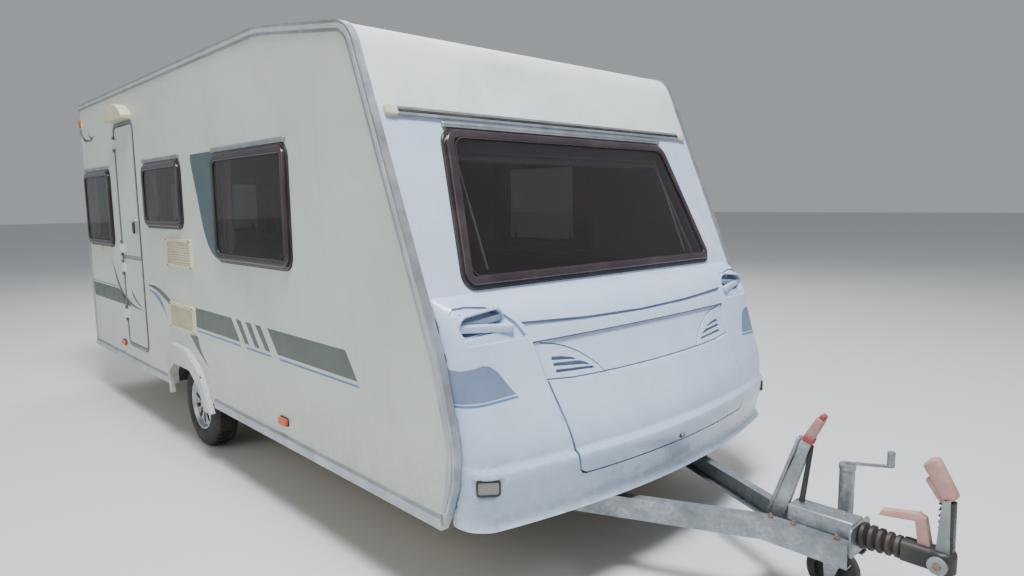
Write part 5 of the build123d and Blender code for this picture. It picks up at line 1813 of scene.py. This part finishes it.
@dataclass
class RoadWheel:
    """Tyre with its tread, wheel bolts and hub cap on one road wheel."""

    side: Side
    axle: Pair = (-0.925, 0.298)
    track: float = 1.000
    steps: int = 240
    bolt_circle: float = 50 * MM

    def section(self) -> list[Pair]:
        """Section of the tyre as radius and distance from its middle, once round."""
        half = [(0.178, 0.062), (0.184, 0.0705), (0.200, 0.0785), (0.214, 0.0815), (0.217, 0.0825),
                (0.223, 0.0825),
                (0.226, 0.0815), (0.244, 0.0820), (0.260, 0.0800), (0.274, 0.0760), (0.285, 0.0700),
                (0.2925, 0.0625), (0.2965, 0.0555), (0.2980, 0.0480), (0.2980, 0.0375), (0.2920, 0.0360),
                (0.2920, 0.0290), (0.2980, 0.0275), (0.2980, 0.0120), (0.2920, 0.0105), (0.2920, 0.0040),
                (0.2980, 0.0025)]
        lining = [(0.178, -0.050), (0.200, -0.060), (0.272, -0.062), (0.272, 0.062), (0.200, 0.060),
                  (0.178, 0.050)]
        return half + [(r, -y) for r, y in reversed(half)] + lining

    def tyre(self) -> Piece:
        """Spin the tyre and cut its cross grooves."""
        word = self.side.word
        middle = (self.axle[0], self.side.value * self.track, self.axle[1])
        tyre = spun(f"tyre_tread_{word}", self.section(), middle, self.steps)
        step = math.tau / self.steps

        def block_gap(face: Any) -> bool:
            place = face.calc_center_median()
            run, rise = place.x - middle[0], place.z - middle[2]
            across = place.y - middle[1]
            slot = int((math.atan2(rise, run) % math.tau) / step)
            outer = math.hypot(run, rise) > 0.2955 and abs(across) > 0.037
            rib = math.hypot(run, rise) > 0.2970 and 0.013 < abs(across) < 0.027
            return (outer and slot % 5 == 0) or (rib and slot % 5 == (2 if across > 0 else 3))

        choose(tyre, Part.FACE, block_gap)
        bpy.ops.mesh.inset(thickness=0.7 * MM, depth=-4.5 * MM)
        return finish_edit(tyre)

    def build(self) -> None:
        """Make and dress the wheel's pieces."""
        word = self.side.word
        body = f"wheel_{word}"
        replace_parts(settle(self.tyre(), TYRE_RUBBER, body), f"tyre_{word}")
        middle = (self.axle[0], self.side.value * self.track, self.axle[1])
        wall = Wall(middle, (-self.side.value, 0, 0), (0, 0, 1))
        places = [wall.place(self.bolt_circle * math.cos(turn), self.bolt_circle * math.sin(turn), 56 * MM)
                  for turn in (math.tau * count / 5 + math.pi / 2 for count in range(5))]
        settle(repeated(f"wheel_bolts_{word}", hex_bolt("wheel_bolt", 17 * MM, 10 * MM), places), RUSTY_STEEL,
               body)
        cap = put(rod(f"hub_cap_{word}", 30 * MM, 12 * MM, 40, 5 * MM), wall.place(0, 0, 58 * MM))
        settle(cap, CAST_ALLOY, body)


@dataclass(frozen=True)
class Profile:
    """Bar cut to a side outline: x and z of its corners, thickness, rounding and middle, in millimetres."""

    name: str
    outline: Outline
    thickness: float
    edge: float
    middle: float = 0.0

    def build(self, shift: float = 0.0) -> Piece:
        """Make the bar, rounded along its edges and moved along x by a shift in metres."""
        corners = [(x * MM + shift, z * MM) for x, z in self.outline]
        ends = ((self.middle - self.thickness / 2) * MM, (self.middle + self.thickness / 2) * MM)
        made = outline_prism(self.name, corners, ends, from_side=True)
        return modify(made, "BEVEL", width=self.edge * MM, segments=3, limit_method="ANGLE")


STABILISER_PLATES = tuple(
    Profile(f"stabiliser_plate_{count}", ((3326, 400), (3372, 400), (3364, 614), (3339, 606)), 4, 0.8, middle)
    for count, middle in enumerate((-21, 21)))
STABILISER_CORE = Profile("stabiliser_core_bar", ((3330, 398), (3380, 398), (3376, 596), (3346, 596)), 38, 4)
STABILISER_GRIPS = (
    Profile("stabiliser_grip", ((3268, 712), (3290, 738), (3316, 746), (3386, 618), (3364, 598), (3338, 600)),
            46, 12),
    Profile("stabiliser_finger", ((3276, 660), (3300, 672), (3362, 600), (3330, 584)), 36, 7))
LATCH = Profile("latch_bar", ((3110, 478), (3118, 500), (3160, 508), (3240, 524), (3266, 512), (3286, 412),
                              (3244, 412), (3232, 494), (3150, 482)), 34, 5)
BRAKE_STEEL = (
    Profile("brake_lever", ((2640, 270), (2720, 270), (2746, 356), (2846, 690), (2812, 702)), 26, 3),
    Profile("brake_flange", ((2668, 352), (2684, 350), (2800, 700), (2788, 704)), 34, 2))
BRAKE_STRUT = Profile("brake_strut_bar", ((2800, 430), (2822, 430), (2850, 676), (2834, 682)), 16, 4)
BRAKE_RED = (
    Profile("brake_collar", ((2806, 694), (2848, 680), (2856, 706), (2816, 720)), 36, 4),
    Profile("brake_tip", ((2866, 800), (2890, 788), (2900, 806), (2882, 818)), 30, 6))
BRAKE_GRIP = Profile("brake_grip_bar", ((2814, 718), (2852, 700), (2894, 790), (2866, 806)), 34, 10)


@dataclass
class Drawbar:
    """Bolts, cover, handbrake, stabiliser lever and latch of the drawbar, over the solids' own places."""

    shift: float = -23 * MM
    bolt_places: Outline = ((2.815, 0.080), (2.985, 0.080), (2.720, 0.080), (1.300, 0.668), (1.400, 0.668))
    bolt_height: float = 0.358
    boss: Pair = (3.322, 0.372)
    nipple_places: tuple[float, ...] = (2.830, 2.980)
    core_ribs: int = 8

    def cover(self) -> Piece:
        """Pressed steel cover over the overrun shaft."""
        return block("overrun_cover", (0.262, 0.100, 0.072), (2.904, 0, 0.389), 9 * MM)

    def bolts(self) -> Piece:
        """Bolts on the flanges of the members and on the housing."""
        places = [Matrix.Translation((x, side.value * y, self.bolt_height)) for side in Side
                  for x, y in self.bolt_places]
        return repeated("drawbar_bolts", hex_bolt("drawbar_bolt", 19 * MM, 11 * MM, 7 * MM), places)

    def on_boss(self, name: str, piece: Piece, out: float) -> Piece:
        """Set a copy of a piece on each friction boss, at a distance from the drawbar's middle."""
        x, z = self.boss
        places = [Wall((x, side.value * out, z), (-side.value, 0, 0), (0, 0, 1)).place() for side in Side]
        return repeated(name, piece, places)

    def nipples(self) -> Piece:
        """Grease nipples on the cover."""
        places = [Matrix.Translation((x, 0, 0.424)) for x in self.nipple_places]
        return repeated("grease_nipples", rod("nipple", 5 * MM, 12 * MM, 12, 3 * MM), places)

    def ribs(self) -> list[Piece]:
        """Ribs across the stabiliser's black core."""
        return [block(f"core_rib_{count}", (50 * MM, 40 * MM, 5 * MM),
                      ((3355 - count * 0.5) * MM + self.shift, 0, (430 + 22 * count) * MM), 2 * MM)
                for count in range(self.core_ribs)]

    def levers(self, name: str, finish: Finish, bars: Sequence[Profile], more: Sequence[Piece] = (),
               shift: float = 0.0) -> Piece:
        """Make bars, join them and dress the result.

        Args:
            name: Name of the result.
            finish: Its finish.
            bars: Bars to make.
            more: Further pieces to join.
            shift: How far the bars move along x.

        Returns:
            The dressed piece.
        """
        pieces = [bar.build(shift) for bar in bars]
        return settle(joined(name, [*pieces, *more]), finish)

    def stabiliser(self) -> None:
        """Stabiliser lever of two grey plates with a ribbed black core and a faded grip, and the latch."""
        shift = self.shift
        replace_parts(self.levers("stabiliser_plates", GREY_IRON, STABILISER_PLATES, (), shift),
                    "coupling_levers")
        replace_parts(self.levers("stabiliser_core", BLACK_ABS, [STABILISER_CORE], self.ribs(), shift),
                    "coupling_levers")
        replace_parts(self.levers("stabiliser_grips", FADED_GRIP, STABILISER_GRIPS, (), shift),
                    "coupling_levers")
        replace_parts(self.levers("latch_handle", FADED_GRIP, [LATCH]), "coupling_levers")

    def handbrake(self) -> None:
        """Handbrake lever of folded steel with a strut, a red collar and tip and a faded grip."""
        base = block("brake_base", (0.150, 0.190, 0.006), (2.700, 0, 0.268), 2 * MM)
        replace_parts(self.levers("brake_lever_steel", GALVANISED, BRAKE_STEEL, [base]), "handbrake")
        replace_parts(self.levers("brake_red_parts", FADED_RED, BRAKE_RED), "handbrake")
        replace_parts(self.levers("brake_strut", BLACK_ABS, [BRAKE_STRUT]), "handbrake")
        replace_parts(self.levers("brake_grip", FADED_GRIP, [BRAKE_GRIP]), "handbrake")

    def build(self) -> None:
        """Make and dress the pieces."""
        settle(self.cover(), GALVANISED)
        settle(self.bolts(), RUSTY_STEEL)
        settle(self.on_boss("boss_caps", rod("boss_cap", 33 * MM, 5 * MM, 40, 2 * MM), 59 * MM), GREY_IRON)
        settle(self.on_boss("boss_bolts", hex_bolt("boss_bolt", 24 * MM, 8 * MM), 63 * MM), RUSTY_STEEL)
        settle(self.nipples(), ANODISED)
        self.stabiliser()
        self.handbrake()


@dataclass
class BodyExtras:
    """Blank number plate at the rear and the seals of the roof hatches."""

    hatches: Pair = (-2.500, -0.350)

    def build(self) -> None:
        """Make and dress them."""
        rear = Wall((-3.385, 0, 0.510), (0, -1, 0), (0, 0, 1))
        settle(put(plate("blank_rear_plate", (0.520, 0.110), 8 * MM, 0, 2 * MM, 0.8 * MM), rear.place()),
               PLATE_WHITE)
        seal = ring("hatch_seal", (0.486, 0.486, 0.486), 55 * MM, 14 * MM, 0, 6 * MM)
        places = [Matrix.Translation((x, 0, 2.553)) for x in self.hatches]
        settle(repeated("hatch_seals", seal, places), DARK_RUBBER)


@dataclass
class Studio:
    """Pale floor, soft lights and the photograph's camera."""

    position: Triple = (3.98392, -2.72138, 1.66315)
    yaw: float = 136.7045
    pitch: float = 7.0733
    roll: float = -0.6883
    focal_px: float = 695.96
    image_width: int = 1024
    sensor_mm: float = 36.0
    floor_size: float = 160.0

    def camera(self) -> None:
        """Set the camera at the photograph's viewing angle."""
        yaw, pitch, roll = (math.radians(a) for a in (self.yaw, self.pitch, self.roll))
        ahead = Vector((math.cos(yaw) * math.cos(pitch), math.sin(yaw) * math.cos(pitch), -math.sin(pitch)))
        level = Vector((math.sin(yaw), -math.cos(yaw), 0))
        above = level.cross(ahead)
        right = math.cos(roll) * level + math.sin(roll) * above
        upward = -math.sin(roll) * level + math.cos(roll) * above
        deselect()
        bpy.ops.object.camera_add()
        camera = bpy.context.object
        camera.data.sensor_width = self.sensor_mm
        camera.data.lens = self.focal_px / self.image_width * self.sensor_mm
        camera.data.clip_end = 400
        turned = Matrix((right, upward, -ahead)).transposed().to_4x4()
        camera.matrix_world = Matrix.Translation(self.position) @ turned
        bpy.context.scene.camera = camera

    def floor(self) -> None:
        """Lay the pale floor."""
        deselect()
        bpy.ops.mesh.primitive_plane_add(size=self.floor_size)
        floor = named("studio_floor")
        made = bpy.data.materials.new("studio floor, pale matt")
        made.use_nodes = True
        shader = made.node_tree.nodes["Principled BSDF"]
        shader.inputs["Base Color"].default_value = linear("#cfd1d0")
        shader.inputs["Roughness"].default_value = 0.9
        floor.data.materials.append(made)

    def light(self, place: Point, aim: Point, size: float, power: float, colour: str) -> None:
        """Add one soft lamp.

        Args:
            place: Where it stands.
            aim: The point that it faces.
            size: Edge of its square face, in metres.
            power: Watts.
            colour: Colour of its light.
        """
        turned = (Vector(aim) - Vector(place)).to_track_quat("-Z", "Y").to_euler()
        bpy.ops.object.light_add(type="AREA", location=place, rotation=turned)
        lamp = bpy.context.object.data
        lamp.energy = power
        lamp.size = size
        lamp.color = linear(colour)[:3]

    def build(self) -> None:
        """Set up the floor, the lights and the camera."""
        self.floor()
        self.light((3.6, -1.9, 10.5), (1.2, 0, 1.0), 3.0, 2000, "#f8f9ff")
        self.light((0.5, -9.0, 5.0), (-1.0, 0, 1.2), 6.0, 230, "#f6f8f2")
        self.light((-7.0, 6.0, 7.5), (-1.5, 0, 1.2), 7.0, 600, "#ffffff")
        world = bpy.data.worlds.new("soft studio") if not bpy.context.scene.world else bpy.context.scene.world
        bpy.context.scene.world = world
        world.use_nodes = True
        back = world.node_tree.nodes["Background"]
        back.inputs["Color"].default_value = linear("#dfe6ec")
        back.inputs["Strength"].default_value = 0.46
        self.camera()


def dress_nodes(nodes: dict[str, Piece]) -> None:
    """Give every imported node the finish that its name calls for.

    Args:
        nodes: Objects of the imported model, by name.
    """
    for name, node in nodes.items():
        finish = next(found for start, found in DRESS if name.startswith(start))
        for slot in node.material_slots:
            slot.material = finish.build()
        log.info("node %s: %s", name, finish.name)


def main() -> None:
    """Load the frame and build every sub-assembly."""
    logging.basicConfig(level=logging.INFO, format="%(message)s")
    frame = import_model()
    nodes = frame["nodes"]
    windows = all_windows()
    dress_nodes(nodes)
    Livery().build()
    BodyEdges(nodes).build()
    FrontWall(nodes, next(window for window in windows if window.name == "front")).build()
    WindowUnits(windows).build()
    WindowFittings(windows).build()
    Curtains(windows).build()
    Cushions().build()
    Nose(nodes).build()
    EntranceDoor().build()
    WallFittings().build()
    for side in Side:
        RoadWheel(side).build()
    Drawbar().build()
    BodyExtras().build()
    Studio().build()


if __name__ == "__main__":
    main()
